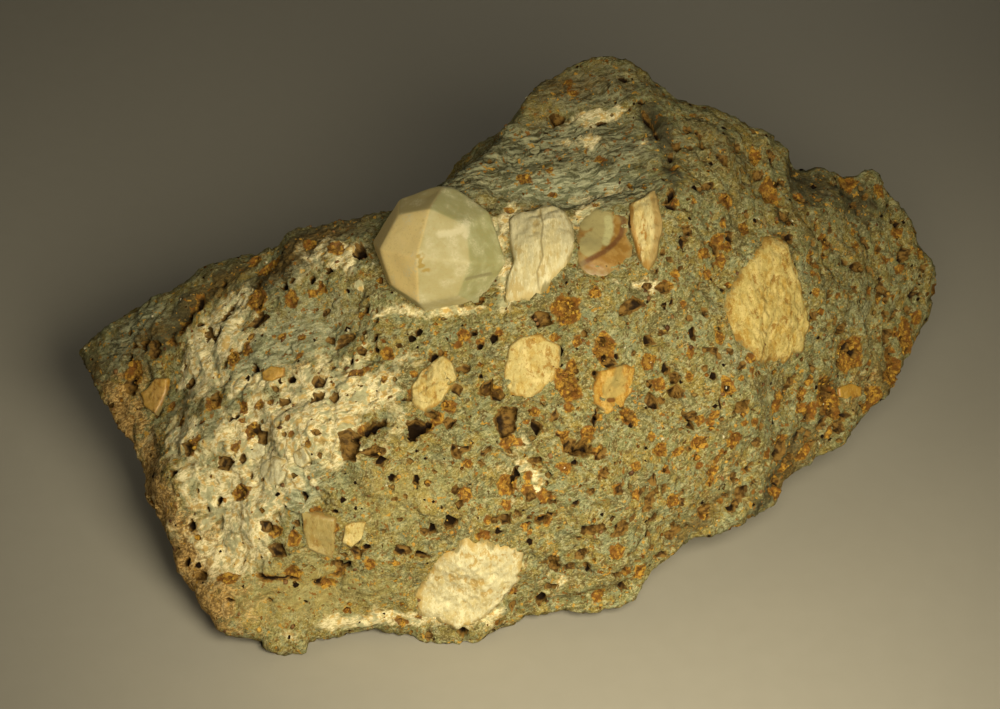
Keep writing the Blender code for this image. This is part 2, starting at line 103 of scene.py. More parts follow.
LOWER_EDGE = {
    "right_under": (62, 16.5, 16.5),
    "right_low": (59, 9, 13),
    "under_right": (49.5, 0, 10.5),
    "under_corner": (41.5, -8, 9.5),
    "under_spur": (36, -13.5, 8.5),
    "under_middle": (27, -19.5, 8),
    "under_front": (21, -26, 3.5),
    "foot_right": (5.5, -28.5, 1.5),
    "foot_front": (-7.5, -31, -1),
    "foot_arch": (-20.5, -31.2, 0.5),
    "foot_nub": (-29.5, -31.6, 2),
    "foot_left": (-35.5, -31.5, 1.5),
    "foot_corner": (-40.5, -29.5, 5),
    "left_end_low": (-44.5, -21, 8.5),
    "left_end_middle": (-55.5, -1, 17),
}
DISPLAY_SIDE = {
    "corner_low": (-28.5, -30.5, 15),
    "ridge_low": (-16, -24.5, 31),
    "ridge_crystal": (-3, -8.5, 39.5),
    "ledge_front": (13.5, -9, 44),
    "ledge_right": (22, -4, 46),
    "edge_right": (23, 5.5, 50.5),
    "edge_top": (20.5, 21, 55.5),
    "slope_hollow": (8.5, 9, 47.5),
    "slope_left": (-4, 4, 47.5),
    "front_middle": (13.5, -23, 28),
    "front_low": (-2.5, -29, 14),
    "front_right": (33.5, -11, 27.5),
    "front_upper": (36.5, 5, 42),
    "right_middle": (50.5, 9, 30),
    "left_middle": (-34.5, -13.5, 29),
    "left_low": (-44.5, -16, 19),
    "left_high": (-21, -1.5, 41.5),
    "left_upper": (-48.5, 2.5, 25.5),
}
BACK = {
    "back_left_high": (-44, 20, 25),
    "back_left_low": (-40, 27, 8),
    "back_middle_high": (-9, 26, 36),
    "back_middle": (-10, 37, 22),
    "back_peak": (18, 38, 44),
    "back_waist": (14, 42, 22),
    "back_right_high": (44, 38, 22),
    "back_right": (38, 42, 14),
    "right_end_low": (57, 30, 13),
}
# The flat it rests on: these lie a little below the floor, and all below it is trimmed to a flat.
UNDERSIDE = {
    "rest_front_left": (-30, -24, -2.2),
    "rest_front": (-7, -24, -2.2),
    "rest_right": (18, -14, -2),
    "rest_back_right": (28, 16, -2),
    "rest_back": (8, 32, -2),
    "rest_back_left": (-26, 22, -2),
    "rest_left": (-38, -4, -2),
    "rest_centre": (0, 0, -2.5),
    "under_right_end": (48, 18, 7),
    "under_left_end": (-50, 8, 8),
}
CORNERS = {**SKYLINE, **LOWER_EDGE, **DISPLAY_SIDE, **BACK, **UNDERSIDE}

BLOCK_CENTRE = (0, 2, 24)  # every corner can be seen from here
BLOCK_REACH = (62, 36, 32)  # half sizes that make the block about as wide each way
WEAR = 0.03  # how far an edge is rounded, as a share of the reach
SWELLS = ((19, 0.7, 11), (7, 0.22, 12))  # wavelength, height and seed of the surface's lumps
# Local pulls on the finished surface: where, how wide, and how far it moves.
PULLS = {
    "foot_arch": ((-20, -31, 0), 5, (0, 1.2, 0.6)),
    "nub": ((-30, -31.5, 1), 1.8, (0, -1.6, -1.5)),
    "notch": ((48, 27, 41), 5.5, (0, -0.5, -4)),
    "second_cliff": ((43.5, 25, 44), 3, (-0.8, 0, -3)),
}
FLOW = {"spot": (6, 15, 50), "width": 13, "way": (-0.15, 0.55, 0.82), "spacing": 3.2, "height": 0.45}
ROCK_GRID = 300  # squares along each side of the cube
ROCK_TRIANGLES = 192000
FINER_FRONT = 0.35  # how much the grid is crowded toward the viewer


def unit(vectors):
    """Vectors of length 1, along the last axis."""
    vectors = np.asarray(vectors, float)
    return vectors / np.linalg.norm(vectors, axis=-1, keepdims=True)


def swell(points, wavelength, seed, waves=24):
    """Smooth lumps of about one wavelength: many sine waves in random directions, spread about 1."""
    draw = np.random.default_rng(seed)
    ways = unit(draw.normal(size=(waves, 3))) * 2 * math.pi / wavelength
    ways *= draw.uniform(0.7, 1.4, (waves, 1))
    turns = draw.uniform(0, 2 * math.pi, waves)
    return np.sin(points @ ways.T + turns).sum(1) * math.sqrt(2 / waves)


def crumbs(points, size, seed):
    """Random cells of about one size: for each point the vector from its cell's seed point in cell sizes, the
    distance to that seed point, and four random numbers of the cell."""
    draw = np.random.default_rng(seed).random((4096, 7))
    place = points / size
    home = np.floor(place).astype(np.int64)
    nearest = np.full(len(points), 9.0)
    offset = np.zeros((len(points), 3))
    cell = np.zeros(len(points), np.int64)
    for step in np.ndindex(3, 3, 3):
        corner = home + np.array(step) - 1
        number = (corner @ np.array((73856093, 19349663, 83492791))) & 4095
        away = place - corner - draw[number, :3]
        distance = np.sqrt((away**2).sum(1))
        closer = distance < nearest
        nearest = np.where(closer, distance, nearest)
        offset[closer] = away[closer]
        cell[closer] = number[closer]
    return offset, nearest, draw[cell, 3:]


def flow_ridges(points):
    """How far the flow bands stand out: rounded saw teeth up the slope, bent by a swell and fading out."""
    offset = points - FLOW["spot"]
    near = np.exp(-((offset / FLOW["width"]) ** 2).sum(1))
    along = offset @ unit(FLOW["way"]) + 1.2 * swell(points, 16, 21)
    tooth = (along / FLOW["spacing"]) % 1
    return near * FLOW["height"] * (1.6 * tooth * (1 - tooth**3) - 0.4)


def corner_facets():
    """For each triangle of neighbouring corners, the matrix giving a direction's shares of its corners."""
    corners = (np.array(list(CORNERS.values())) - BLOCK_CENTRE) / BLOCK_REACH
    hull = bmesh.new()
    for number, way in enumerate(unit(corners)):
        hull.verts.new(way).index = number
    bmesh.ops.convex_hull(hull, input=hull.verts)
    bmesh.ops.triangulate(hull, faces=hull.faces)
    triangles = [[v.index for v in face.verts] for face in hull.faces]
    hull.free()
    return np.linalg.inv(corners[triangles])


def faceted_reach(ways, facets):
    """Distance from the centre to the flat facets in each direction: one over the sum of corner shares."""
    first, second, third = facets.transpose(2, 1, 0).astype(np.float32)
    reach = np.empty(len(ways))
    for start in range(0, len(ways), 20000):
        part = ways[start : start + 20000].astype(np.float32)
        shares = part @ first, part @ second, part @ third
        inside = np.minimum(np.minimum(shares[0], shares[1]), shares[2]).argmax(1)
        row = np.arange(len(part))
        reach[start : start + len(part)] = 1 / sum(share[row, inside] for share in shares)
    return reach


def block_surface(ways):
    """Points of the block's surface: worn facets, then lumps and flow ridges pushed out, then local pulls."""
    facets = corner_facets()
    nearby = [(0, 0, 0)]
    nearby += [tuple(side * WEAR * (k == axis) for k in range(3)) for axis in range(3) for side in (-1, 1)]
    reach = np.mean([faceted_reach(unit(ways + step), facets) for step in nearby], axis=0)
    points = ways * reach[:, None] * BLOCK_REACH
    for wavelength, height, seed in SWELLS:
        points += unit(points) * (height * swell(points, wavelength, seed))[:, None]
    points += BLOCK_CENTRE
    points += unit(points - BLOCK_CENTRE) * flow_ridges(points)[:, None]
    for spot, width, move in PULLS.values():
        near = np.exp(-(((points - spot) / width) ** 2).sum(1))
        points += near[:, None] * move
    points[:, 2] = points[:, 2].clip(min=0)
    return points


def cube_shell(count):
    """A cube's surface as a grid: its vertices from -1 to 1, and its squares facing outwards."""
    steps = np.arange(count + 1)
    first, second = np.meshgrid(steps, steps, indexing="ij")
    corners, squares = [], []
    for axis in range(3):
        for side in (0, count):
            lattice = np.empty((count + 1, count + 1, 3), np.int64)
            lattice[..., axis] = side
            lattice[..., (axis + 1) % 3] = first
            lattice[..., (axis + 2) % 3] = second
            number = lattice @ np.array((1, count + 1, (count + 1) ** 2))
            around = [number[:-1, :-1], number[1:, :-1], number[1:, 1:], number[:-1, 1:]]
            squares.append(np.stack(around if side else around[::-1], -1).reshape(-1, 4))
            corners.append(lattice.reshape(-1, 3))
    corners, squares = np.concatenate(corners), np.concatenate(squares)
    number = corners @ np.array((1, count + 1, (count + 1) ** 2))
    number, kept = np.unique(number, return_index=True)
    return corners[kept] / count * 2 - 1, np.searchsorted(number, squares)


def round_ways(count):
    """Directions spread evenly over the sphere, on a cube's grid, and the squares between them."""
    cube, squares = cube_shell(count)
    return unit(np.tan(cube * math.pi / 4)), squares


def halved(points, count):
    """Points on a cube's grid of a count, carried to twice the count: new ones lie midway between old."""
    coarse = cube_shell(count)[0]
    fine, squares = cube_shell(2 * count)
    weights = np.array((1, count + 1, (count + 1) ** 2))
    known = np.rint((coarse + 1) / 2 * count).astype(np.int64) @ weights
    place = np.rint((fine + 1) * count).astype(np.int64)
    below = np.searchsorted(known, (place // 2) @ weights)
    above = np.searchsorted(known, ((place + 1) // 2) @ weights)
    return (points[below] + points[above]) / 2, squares


def outward(points, squares):
    """Each vertex's normal: the sum of its squares' diagonals' cross products."""
    corners = points[squares]
    across = np.cross(corners[:, 2] - corners[:, 0], corners[:, 3] - corners[:, 1])
    corner = squares.ravel()
    total = [np.bincount(corner, np.repeat(across[:, k], 4), len(points)) for k in range(3)]
    return unit(np.stack(total, 1))


def mesh_piece(name, points, faces, marks=None):
    """A piece in metres from points in millimetres and faces of equal size, with its marks as attributes."""
    mesh = bpy.data.meshes.new(name)
    mesh.vertices.add(len(points))
    mesh.vertices.foreach_set("co", (np.asarray(points) * MM).astype(np.float32).ravel())
    sides = faces.shape[1]
    mesh.loops.add(faces.size)
    mesh.loops.foreach_set("vertex_index", faces.astype(np.int32).ravel())
    mesh.polygons.add(len(faces))
    mesh.polygons.foreach_set("loop_start", np.arange(0, faces.size, sides, dtype=np.int32))
    mesh.update(calc_edges=True)
    for mark, values in (marks or {}).items():
        mesh.attributes.new(mark, "FLOAT", "POINT").data.foreach_set("value", values.astype(np.float32))
    mesh.shade_smooth()
    piece = bpy.data.objects.new(name, mesh)
    bpy.context.scene.collection.objects.link(piece)
    return piece


def simplified(piece, triangles):
    """The piece with its flat places drawn with fewer triangles."""
    simpler = piece.modifiers.new("simpler", "DECIMATE")
    simpler.ratio = triangles / (2 * len(piece.data.polygons))
    graph = bpy.context.evaluated_depsgraph_get()
    mesh = bpy.data.meshes.new_from_object(
        piece.evaluated_get(graph), preserve_all_data_layers=True, depsgraph=graph
    )
    piece.modifiers.clear()
    old, piece.data = piece.data, mesh
    mesh.name = piece.name
    bpy.data.meshes.remove(old)
    mesh.shade_smooth()


# A coarse copy of the surface finds the spot that the eye sees at a column and row.
coarse_ways, coarse_squares = round_ways(72)
coarse = block_surface(coarse_ways)
seen_tree = BVHTree.FromPolygons(coarse.tolist(), coarse_squares.tolist())


def seen_spot(column, row):
    """Where the eye sees the block at a column and row."""
    aim = aimed_at(column, row)
    found = seen_tree.ray_cast(Vector(EYE), Vector(aim - EYE))[0]
    return np.array(found or seen_tree.find_nearest(Vector(aim))[0])


def outward_spot(way):
    """Where a direction out of the block's centre leaves the block."""
    way = Vector(way).normalized()
    return np.array(seen_tree.ray_cast(Vector(BLOCK_CENTRE) + way * 200, -way)[0])


def smooth_normal(spot, width):
    """The surface's normal at a spot, averaged over its neighbours within a width."""
    found = seen_tree.find_nearest_range(Vector(spot), width)
    return unit(sum((np.array(near[1]) for near in found), np.zeros(3)))


# Gas pits, moulds and crusts on the display side: column, row, width, height, and turn anticlockwise.
HOLES = {
    "front_middle": (
        (417, 426, 20, 20, 0), (584, 449, 24, 23, 20), (599, 456, 8, 12, -30), (451, 524, 16, 16, 0),
        (432, 530, 9, 14, 0), (479, 375, 6, 6, 0), (494, 338, 10, 9, 0), (473, 332, 9, 9, 0),
        (377, 423, 20, 17, 0), (598, 411, 6, 10, -30), (543, 403, 5, 8, 20), (632, 424, 6, 10, -30),
    ),
    "front_right": (
        (750, 467, 14, 14, 0), (766, 464, 9, 9, 0), (714, 377, 9, 9, 0), (722, 404, 5, 16, 0),
        (693, 333, 8, 15, 0), (831, 356, 7, 18, 10), (811, 315, 6, 14, 0), (700, 286, 9, 9, 0),
        (685, 244, 9, 18, 0), (697, 236, 5, 5, 0), (915, 298, 9, 18, 0), (851, 297, 12, 11, 0),
    ),
    "crest": (
        (649, 118, 13, 28, 25), (657, 134, 9, 18, 10), (641, 101, 10, 12, 0), (622, 77, 14, 7, -30),
        (629, 109, 8, 5, 0), (672, 155, 7, 14, 10), (546, 133, 6, 4, 0), (705, 144, 14, 13, 0),
        (671, 192, 11, 18, 0), (731, 211, 12, 11, 0), (770, 161, 8, 18, 0), (686, 209, 7, 7, 0),
        (799, 192, 10, 10, 0), (823, 196, 9, 9, 0), (859, 212, 10, 9, 0), (601, 122, 14, 7, 10),
        (560, 158, 5, 5, 0), (490, 160, 10, 9, 0),
    ),
    "left": (
        (359, 251, 14, 27, 10), (222, 284, 12, 10, 0), (231, 308, 11, 10, 0), (200, 325, 7, 6, 0),
        (130, 358, 8, 8, 0), (186, 317, 9, 44, -38), (196, 524, 10, 14, 0), (207, 510, 8, 8, 0),
        (260, 576, 12, 8, 0), (346, 567, 14, 8, 35), (366, 547, 9, 7, 0), (366, 310, 10, 9, 0),
        (234, 597, 7, 5, 0), (269, 601, 6, 5, 0), (306, 604, 6, 5, 0), (256, 306, 7, 6, 0),
    ),
}
BROWN_MOULDS = {
    "front_middle": (
        (506, 419, 26, 30, 0), (350, 443, 24, 36, -15), (375, 452, 22, 12, 0), (569, 446, 14, 18, -30),
        (463, 451, 20, 10, 10), (505, 519, 14, 13, 0), (460, 504, 10, 10, 0), (449, 422, 14, 14, 0),
        (541, 318, 18, 18, 0), (606, 473, 14, 13, 0), (620, 488, 20, 12, 30), (592, 530, 28, 19, 20),
        (582, 552, 12, 10, 0), (550, 588, 16, 11, 0), (652, 499, 15, 28, -25), (654, 480, 10, 14, 0),
        (403, 551, 18, 13, 0), (555, 416, 8, 12, -20), (631, 307, 28, 17, 30), (570, 567, 12, 11, 0),
    ),
    "front_right": (
        (741, 408, 20, 18, 0), (651, 402, 15, 16, 0), (677, 392, 18, 15, 0), (666, 370, 12, 12, 0),
        (841, 329, 19, 16, 0), (789, 384, 20, 13, 0), (806, 419, 14, 11, 0), (734, 477, 12, 11, 0),
        (706, 510, 14, 12, 0), (664, 288, 16, 14, 0), (648, 286, 12, 9, 0), (887, 337, 15, 19, 0),
        (780, 452, 26, 24, 0), (672, 533, 20, 14, 20), (662, 556, 14, 12, 0), (739, 500, 20, 9, 25),
    ),
    "crest": (
        (723, 157, 16, 14, 0), (710, 185, 14, 12, 0), (557, 118, 16, 19, 0), (856, 267, 18, 12, 0),
        (865, 242, 15, 14, 0), (690, 318, 9, 8, 0), (776, 183, 9, 9, 0),
    ),
    "left": (
        (344, 341, 22, 13, 20), (316, 397, 16, 19, 0), (335, 397, 11, 14, 0), (277, 550, 20, 16, 0),
        (258, 320, 22, 15, 20), (155, 353, 20, 12, 15), (296, 524, 8, 8, 0), (208, 576, 18, 10, 0),
    ),
}
OCHRE_CRUSTS = {
    "front_middle": (
        (566, 309, 28, 24, 0), (566, 385, 19, 34, 15), (605, 351, 20, 27, 0), (506, 485, 18, 18, 0),
        (534, 412, 9, 9, 0), (488, 520, 8, 8, 0), (661, 450, 17, 13, 0), (562, 434, 12, 9, 0),
        (652, 436, 8, 7, 0), (636, 466, 9, 9, 0), (554, 337, 8, 7, 0), (599, 452, 7, 14, -25),
    ),
    "front_right": (
        (780, 440, 20, 10, 0), (776, 401, 17, 20, 0), (828, 396, 26, 36, 20), (847, 354, 36, 36, 0),
        (905, 338, 16, 40, 10), (893, 374, 22, 24, 0), (872, 400, 26, 16, 30), (700, 444, 16, 12, 0),
        (735, 440, 18, 14, 0), (712, 470, 14, 12, 0), (672, 500, 14, 12, 0), (803, 452, 20, 12, 30),
        (701, 421, 9, 11, 0), (823, 242, 10, 16, 0), (811, 259, 12, 12, 0), (920, 253, 8, 14, 0),
        (689, 377, 7, 9, 0), (690, 352, 6, 12, 0), (744, 229, 13, 12, 0), (727, 246, 10, 10, 0),
        (703, 253, 12, 10, 0), (667, 286, 12, 10, 0), (780, 452, 12, 10, 0),
    ),
    "crest": (
        (768, 194, 19, 26, 0), (753, 157, 12, 17, 0), (880, 192, 12, 12, 0), (524, 179, 14, 12, 0),
        (448, 179, 30, 13, 12), (553, 195, 8, 7, 0), (549, 170, 7, 6, 0), (573, 93, 10, 8, 0),
        (569, 82, 8, 6, 0), (640, 235, 7, 8, 0),
    ),
    "left": (
        (258, 298, 20, 24, 20), (270, 267, 26, 13, 15), (309, 245, 12, 9, 0), (313, 293, 9, 8, 0),
        (233, 358, 11, 17, 0), (247, 351, 13, 7, -15), (134, 373, 18, 28, 0), (252, 431, 10, 16, 0),
        (190, 447, 14, 12, 0), (181, 421, 14, 12, 0), (241, 493, 22, 17, 0), (234, 578, 20, 8, 0),
        (370, 564, 10, 10, 0), (276, 531, 14, 11, 0), (359, 372, 22, 8, 35), (283, 337, 9, 6, 0),
    ),
}
CHALK = {
    "veins": (
        (216, 318, 12, 34, -15), (204, 345, 15, 36, -25), (188, 376, 18, 34, -30), (238, 386, 15, 36, -20),
    ),
    "patches": (
        (173, 437, 28, 30, 0), (222, 433, 27, 21, 0), (234, 521, 40, 34, 0), (333, 265, 20, 12, 0),
        (360, 286, 11, 14, 0), (338, 245, 20, 15, 0), (584, 116, 16, 9, 0), (345, 378, 40, 26, 10),
        (360, 402, 46, 16, 25), (305, 418, 60, 22, 5), (285, 445, 40, 30, 0), (272, 500, 40, 30, 0),
        (532, 475, 18, 16, 0), (535, 492, 12, 14, 0),
    ),
}
# Soft washes of colour over wider places: column, row, width, height, turn and strength.
DARK_TINT = {
    "steep_slope": (
        (555, 160, 210, 90, 5, 1), (450, 185, 110, 50, 25, 1), (590, 90, 130, 60, 0, 0.7),
        (610, 195, 110, 50, 0, 0.8),
    ),
    "left_top": ((140, 335, 120, 60, 20, 0.8), (290, 262, 170, 50, 25, 0.8), (350, 225, 80, 30, 20, 0.5)),
}
# Painted shade: near-black washes where shade falls, beside the second peak, along the crest's edge, on the
# left top and under the overhanging edge.
PAINTED_SHADE_WASHES = {
    "beside_second_peak": (
        (812, 182, 60, 66, 0, 1), (852, 198, 70, 44, 0, 0.9), (781, 218, 16, 50, 0, 0.7),
    ),
    "crest_edge": ((656, 124, 30, 80, 20, 0.9), (672, 172, 22, 60, 10, 0.7), (548, 98, 70, 14, 20, 0.5)),
    "left_top": (
        (183, 314, 28, 90, -38, 1), (162, 342, 40, 24, 20, 0.9), (300, 246, 150, 30, 25, 1),
        (90, 366, 30, 50, 20, 0.7), (215, 285, 90, 26, 25, 0.8),
    ),
    "under_edge": ((706, 536, 90, 18, 30, 0.7), (796, 478, 110, 26, 35, 0.9), (880, 405, 50, 22, 60, 0.8)),
}
OCHRE_TINT = {
    "foot_left": (
        (290, 590, 280, 110, 0, 0.8), (400, 500, 180, 110, 20, 0.6), (180, 330, 160, 60, 20, 0.6),
    ),
    "right_end": ((880, 330, 90, 120, 0, 0.5), (760, 470, 120, 70, 20, 0.4), (780, 130, 120, 60, -20, 0.4)),
}
BROWN_TINT = {
    "under_edge": ((790, 470, 110, 40, 35, 1), (700, 520, 90, 30, 30, 0.9), (890, 380, 40, 60, 0, 1)),
    "left_end": ((98, 368, 20, 40, 20, 0.7),),
    "left_crest": ((300, 250, 150, 40, 25, 1), (215, 290, 90, 34, 25, 0.9), (150, 335, 80, 30, 20, 0.8)),
    "right_side": (
        (820, 230, 200, 100, 0, 0.5), (860, 400, 90, 60, 30, 0.5), (730, 150, 150, 90, -25, 0.6),
    ),
    "hump": ((570, 85, 130, 50, 0, 0.75), (536, 112, 40, 50, 0, 0.6), (625, 84, 50, 30, -30, 0.6)),
}
TAN_TINT = {
    "left_face": ((118, 420, 60, 100, 25, 0.9), (158, 492, 60, 140, 27, 1), (206, 568, 90, 130, 27, 1)),
    "left_white": ((250, 432, 44, 34, 0, 0.9), (235, 585, 90, 26, 0, 0.5), (300, 370, 60, 30, 20, 0.5)),
    "right": ((862, 388, 80, 40, 20, 0.5), (720, 470, 60, 50, 0, 0.4)),
}
CHALK_TINT = {
    "left_side": (
        (290, 420, 220, 110, 25, 0.95), (235, 500, 110, 130, 0, 0.9), (215, 350, 80, 120, -25, 0.85),
        (335, 258, 80, 50, 0, 0.62), (350, 395, 110, 40, 20, 0.85), (180, 440, 60, 70, 0, 0.7),
        (235, 300, 70, 40, 0, 0.7), (210, 345, 70, 60, -25, 0.8),
    ),
    "contact": (
        (440, 311, 140, 16, 0, 0.6), (503, 225, 24, 60, -20, 0.9), (505, 285, 16, 60, 0, 0.8),
        (586, 222, 26, 60, 0, 0.85), (600, 196, 70, 16, 0, 0.6), (640, 285, 60, 16, 0, 0.45),
    ),
    "hump": ((590, 118, 70, 24, 5, 0.75), (586, 142, 90, 16, -5, 0.5), (530, 208, 60, 14, 10, 0.6)),
    "foot": ((400, 618, 190, 22, 4, 0.8), (520, 470, 40, 60, 0, 0.6), (480, 600, 120, 80, 10, 0.5)),
}
PALE_FLOW = {
    "slope_foot": (
        (570, 192, 170, 50, 0, 1), (640, 215, 50, 70, 0, 0.6), (740, 360, 90, 60, 0, 0.6),
        (300, 480, 60, 90, -25, 1), (690, 420, 80, 60, 0, 0.5),
    ),
    "left": ((280, 350, 240, 110, 25, 0.8), (225, 440, 120, 190, 10, 0.7)),
    "right": ((860, 315, 80, 60, 0, 0.6), (800, 410, 60, 50, 0, 0.4)),
}
# Cracks: width in columns, depth in mm, and the columns and rows that they run through.
CRACKS = {
    "rusty_crack": (
        3.0,
        0.7,
        ((256, 574), (270, 579), (292, 580), (316, 584), (340, 573), (352, 562), (366, 549)),
    ),
    "slanting_crack": (5.0, 1.0, ((172, 340), (184, 324), (192, 311), (200, 298))),
}
# Steps and hollows: column, row, width, height, turn, and how many mm the place lies lower.
DENTS = {
    "beside_second_peak": (
        (807, 184, 46, 66, 0, 1.3), (763, 162, 22, 60, 0, -0.7), (846, 190, 24, 18, 0, 0.8),
    ),
    "crest_edge": ((652, 118, 12, 40, 20, 0.9), (668, 160, 12, 34, 10, 0.8), (634, 88, 20, 8, -30, 0.5)),
    "left_top": ((180, 318, 9, 60, -38, 0.9), (226, 332, 18, 50, -25, -0.5)),
    "under_edge": (
        (700, 545, 26, 20, 30, 0.8), (738, 512, 22, 16, 30, -0.6), (776, 482, 26, 18, 30, 0.8),
        (826, 446, 30, 16, 40, 0.7), (884, 398, 20, 30, 0, 0.8),
    ),
    "lower_edge": (
        (506, 630, 50, 20, 0, 1.2), (592, 603, 90, 26, 15, 1.3), (273, 641, 18, 14, 0, -1.5),
        (300, 643, 16, 14, 0, -1.4),
    ),
    "left_face": (
        (172, 500, 60, 80, 27, -1.2), (200, 560, 70, 80, 27, -1.7), (228, 604, 60, 50, 27, -1.7),
        (246, 624, 50, 26, 0, -1.6),
    ),
    "middle": (
        (480, 470, 60, 50, 20, 0.5), (690, 440, 70, 60, 0, 0.5), (620, 560, 70, 50, 0, -0.5),
        (330, 500, 50, 60, 0, 0.5), (420, 340, 60, 24, 10, -0.4),
    ),
}
WILD_PITS = 260  # middling ones scattered all over, besides those above
# More of them over parts of the display side: how many, the two end columns, and the rows between which they
# lie at either end.
PIT_FIELDS = {
    "front_middle": (150, (400, 655), (330, 330), (680, 583)),
    "front_right": (300, (655, 925), (110, 204), (583, 440)),
    "left": (70, (130, 400), (335, 240), (440, 640)),
}


def near_line(points, spots, width):
    """1 where the eye sees a line through columns and rows, fading over a width in columns."""
    return near_path(seen_at(points), np.array(spots, float), width)


def near_path(points, line, width):
    """1 on a path, fading over a width, from the distance to the nearest of its straight runs."""
    nearest = np.full(len(points), 1e9)
    for start, end in zip(line[:-1], line[1:]):
        run = end - start
        share = ((points - start) @ run / (run @ run)).clip(0, 1)
        nearest = np.minimum(nearest, ((points - start - share[:, None] * run) ** 2).sum(1))
    return np.exp(-nearest / width**2)


def frame_of(normal, turn):
    """Two directions along a surface with a normal: the first is the view's across, turned."""
    lean = math.radians(turn)
    side = ACROSS * math.cos(lean) + UP * math.sin(lean)
    side = unit(side - normal * (normal @ side))
    return side, np.cross(normal, side)


class Surroundings:
    """Finds the points within a distance of a spot, by their order along X."""

    def __init__(self, points):
        self.points = points
        self.order = np.argsort(points[:, 0])
        self.across = points[self.order, 0]

    def near(self, spot, reach):
        """The numbers of the points nearer to a spot than a reach, and their offsets from it."""
        low, high = np.searchsorted(self.across, (spot[0] - reach, spot[0] + reach))
        some = self.order[low:high]
        offset = self.points[some] - spot
        close = (offset**2).sum(1) < reach * reach
        return some[close], offset[close]


def angular_bowl(x, y, seed, sides=5):
    """Distance out from a spot's middle, 1 at its rim: the largest over a few random flat sides."""
    draw = np.random.default_rng(seed)
    turns = (np.arange(sides) + draw.uniform(-0.3, 0.3, sides)) * 2 * math.pi / sides
    reach = draw.uniform(0.78, 1.0, sides)
    return ((x[:, None] * np.cos(turns) + y[:, None] * np.sin(turns)) / reach).max(1)


def wild_spots(count, seed):
    """Directions of the scattered pits, their sizes in mm with few large ones, and their turns."""
    draw = np.random.default_rng(seed)
    ways = unit(draw.normal(size=(count, 3)) * (1.2, 1, 0.9))
    width = 0.9 + 1.3 * draw.random(count) ** 2
    return ways, width, width * draw.uniform(0.6, 1.3, count), draw.uniform(0, 180, count)


def every_spot():
    """All pits, moulds, crusts and chalk: kind, spot, width and height in mm, and turn."""
    for kind, groups in (("hole", HOLES), ("mould", BROWN_MOULDS), ("crust", OCHRE_CRUSTS), ("chalk", CHALK)):
        for group in groups.values():
            for column, row, width, height, turn in group:
                yield kind, seen_spot(column, row), width * VIEW_STEP, height * VIEW_STEP, turn
    kinds = np.random.default_rng(8).choice(("hole", "mould", "crust"), WILD_PITS, p=(0.3, 0.4, 0.3))
    ways, width, height, turn = wild_spots(WILD_PITS, 7)
    for number, kind in enumerate(kinds):
        yield kind, outward_spot(ways[number]), width[number], height[number], turn[number]
    draw = np.random.default_rng(9)
    for number, (count, columns, highest, lowest) in enumerate(PIT_FIELDS.values()):
        for width, height, turn in zip(*wild_spots(count, 10 + number)[1:]):
            share = draw.random()
            row = draw.uniform(np.interp(share, (0, 1), highest), np.interp(share, (0, 1), lowest))
            kind = draw.choice(("hole", "mould", "crust"), p=(0.25, 0.4, 0.35))
            yield kind, seen_spot(np.interp(share, (0, 1), columns), row), width, height, turn


PIT_DEPTHS = {"hole": 1.3, "mould": 0.75, "crust": 0.30, "chalk": -0.05}  # mm, for a pit 1 mm wide
WASHES = {
    "dark": DARK_TINT,
    "tint": OCHRE_TINT,
    "stain": BROWN_TINT,
    "chalk": CHALK_TINT,
    "pale": PALE_FLOW,
    "tan": TAN_TINT,
    "painted_shade": PAINTED_SHADE_WASHES,
}


def sink_pits(points, normals, sink, marks):
    """Sinks each pit by a rounded step that leans one way, and marks its floor, its rim and its crust, with
    painted shade on one side of each hole and mould.
    """
    around = Surroundings(points)
    wobble = 0.05 * swell(points, 1.2, 35)

    def raise_mark(name, some, values):
        marks[name][some] = np.maximum(marks[name][some], values)

    for number, (kind, spot, width, height, turn) in enumerate(every_spot()):
        normal = smooth_normal(spot, 2.0)
        some, offset = around.near(spot, (1.1 if kind == "chalk" else 0.8) * max(width, height))
        facing = normals[some] @ normal > -0.2
        some, offset = some[facing], offset[facing]
        side, other = frame_of(normal, turn)
        x, y = offset @ side * 2 / width, offset @ other * 2 / height
        out = angular_bowl(x, y, number) + wobble[some]
        lean = math.sin(2.3 * number) * x + math.cos(2.3 * number) * y
        inside = ((1 - out) / (0.28 if kind in ("hole", "mould") else 0.6)).clip(0, 1)
        inside = inside * inside * (3 - 2 * inside) * (1 + 0.35 * lean)
        deep = PIT_DEPTHS[kind] * min(width, height) ** 0.8 * inside
        sink[some] = np.maximum(sink[some], deep) if PIT_DEPTHS[kind] > 0 else sink[some] + deep
        if kind == "hole":
            # Holes are black inside and darker on the side that leans deeper: partly their dark lining,
            # partly painted shade.
            raise_mark("pit_black_and_shade", some, ((0.95 - out) / 0.25).clip(0, 1) * (0.75 + 0.25 * lean.clip(-1, 1)))
            raise_mark("brown", some, 0.85 * ((1.12 - out) / 0.3).clip(0, 1))
        elif kind == "mould":
            raise_mark("brown", some, ((1.08 - out) / 0.2).clip(0, 1))
            # Painted shade: one side of each mould's floor is darkened.
            painted_shade_side = ((0.1 - lean) / 0.5).clip(0, 1)
            raise_mark("pit_black_and_shade", some, 0.6 * painted_shade_side * ((1.0 - out) / 0.25).clip(0, 1))
        elif kind == "crust":
            raise_mark("ochre", some, ((1.4 - out) / 0.5).clip(0, 1))
            raise_mark("brown", some, 0.5 * ((1.0 - out) / 0.5).clip(0, 1))
        else:
            raise_mark("chalk", some, np.exp(-(out**2)))


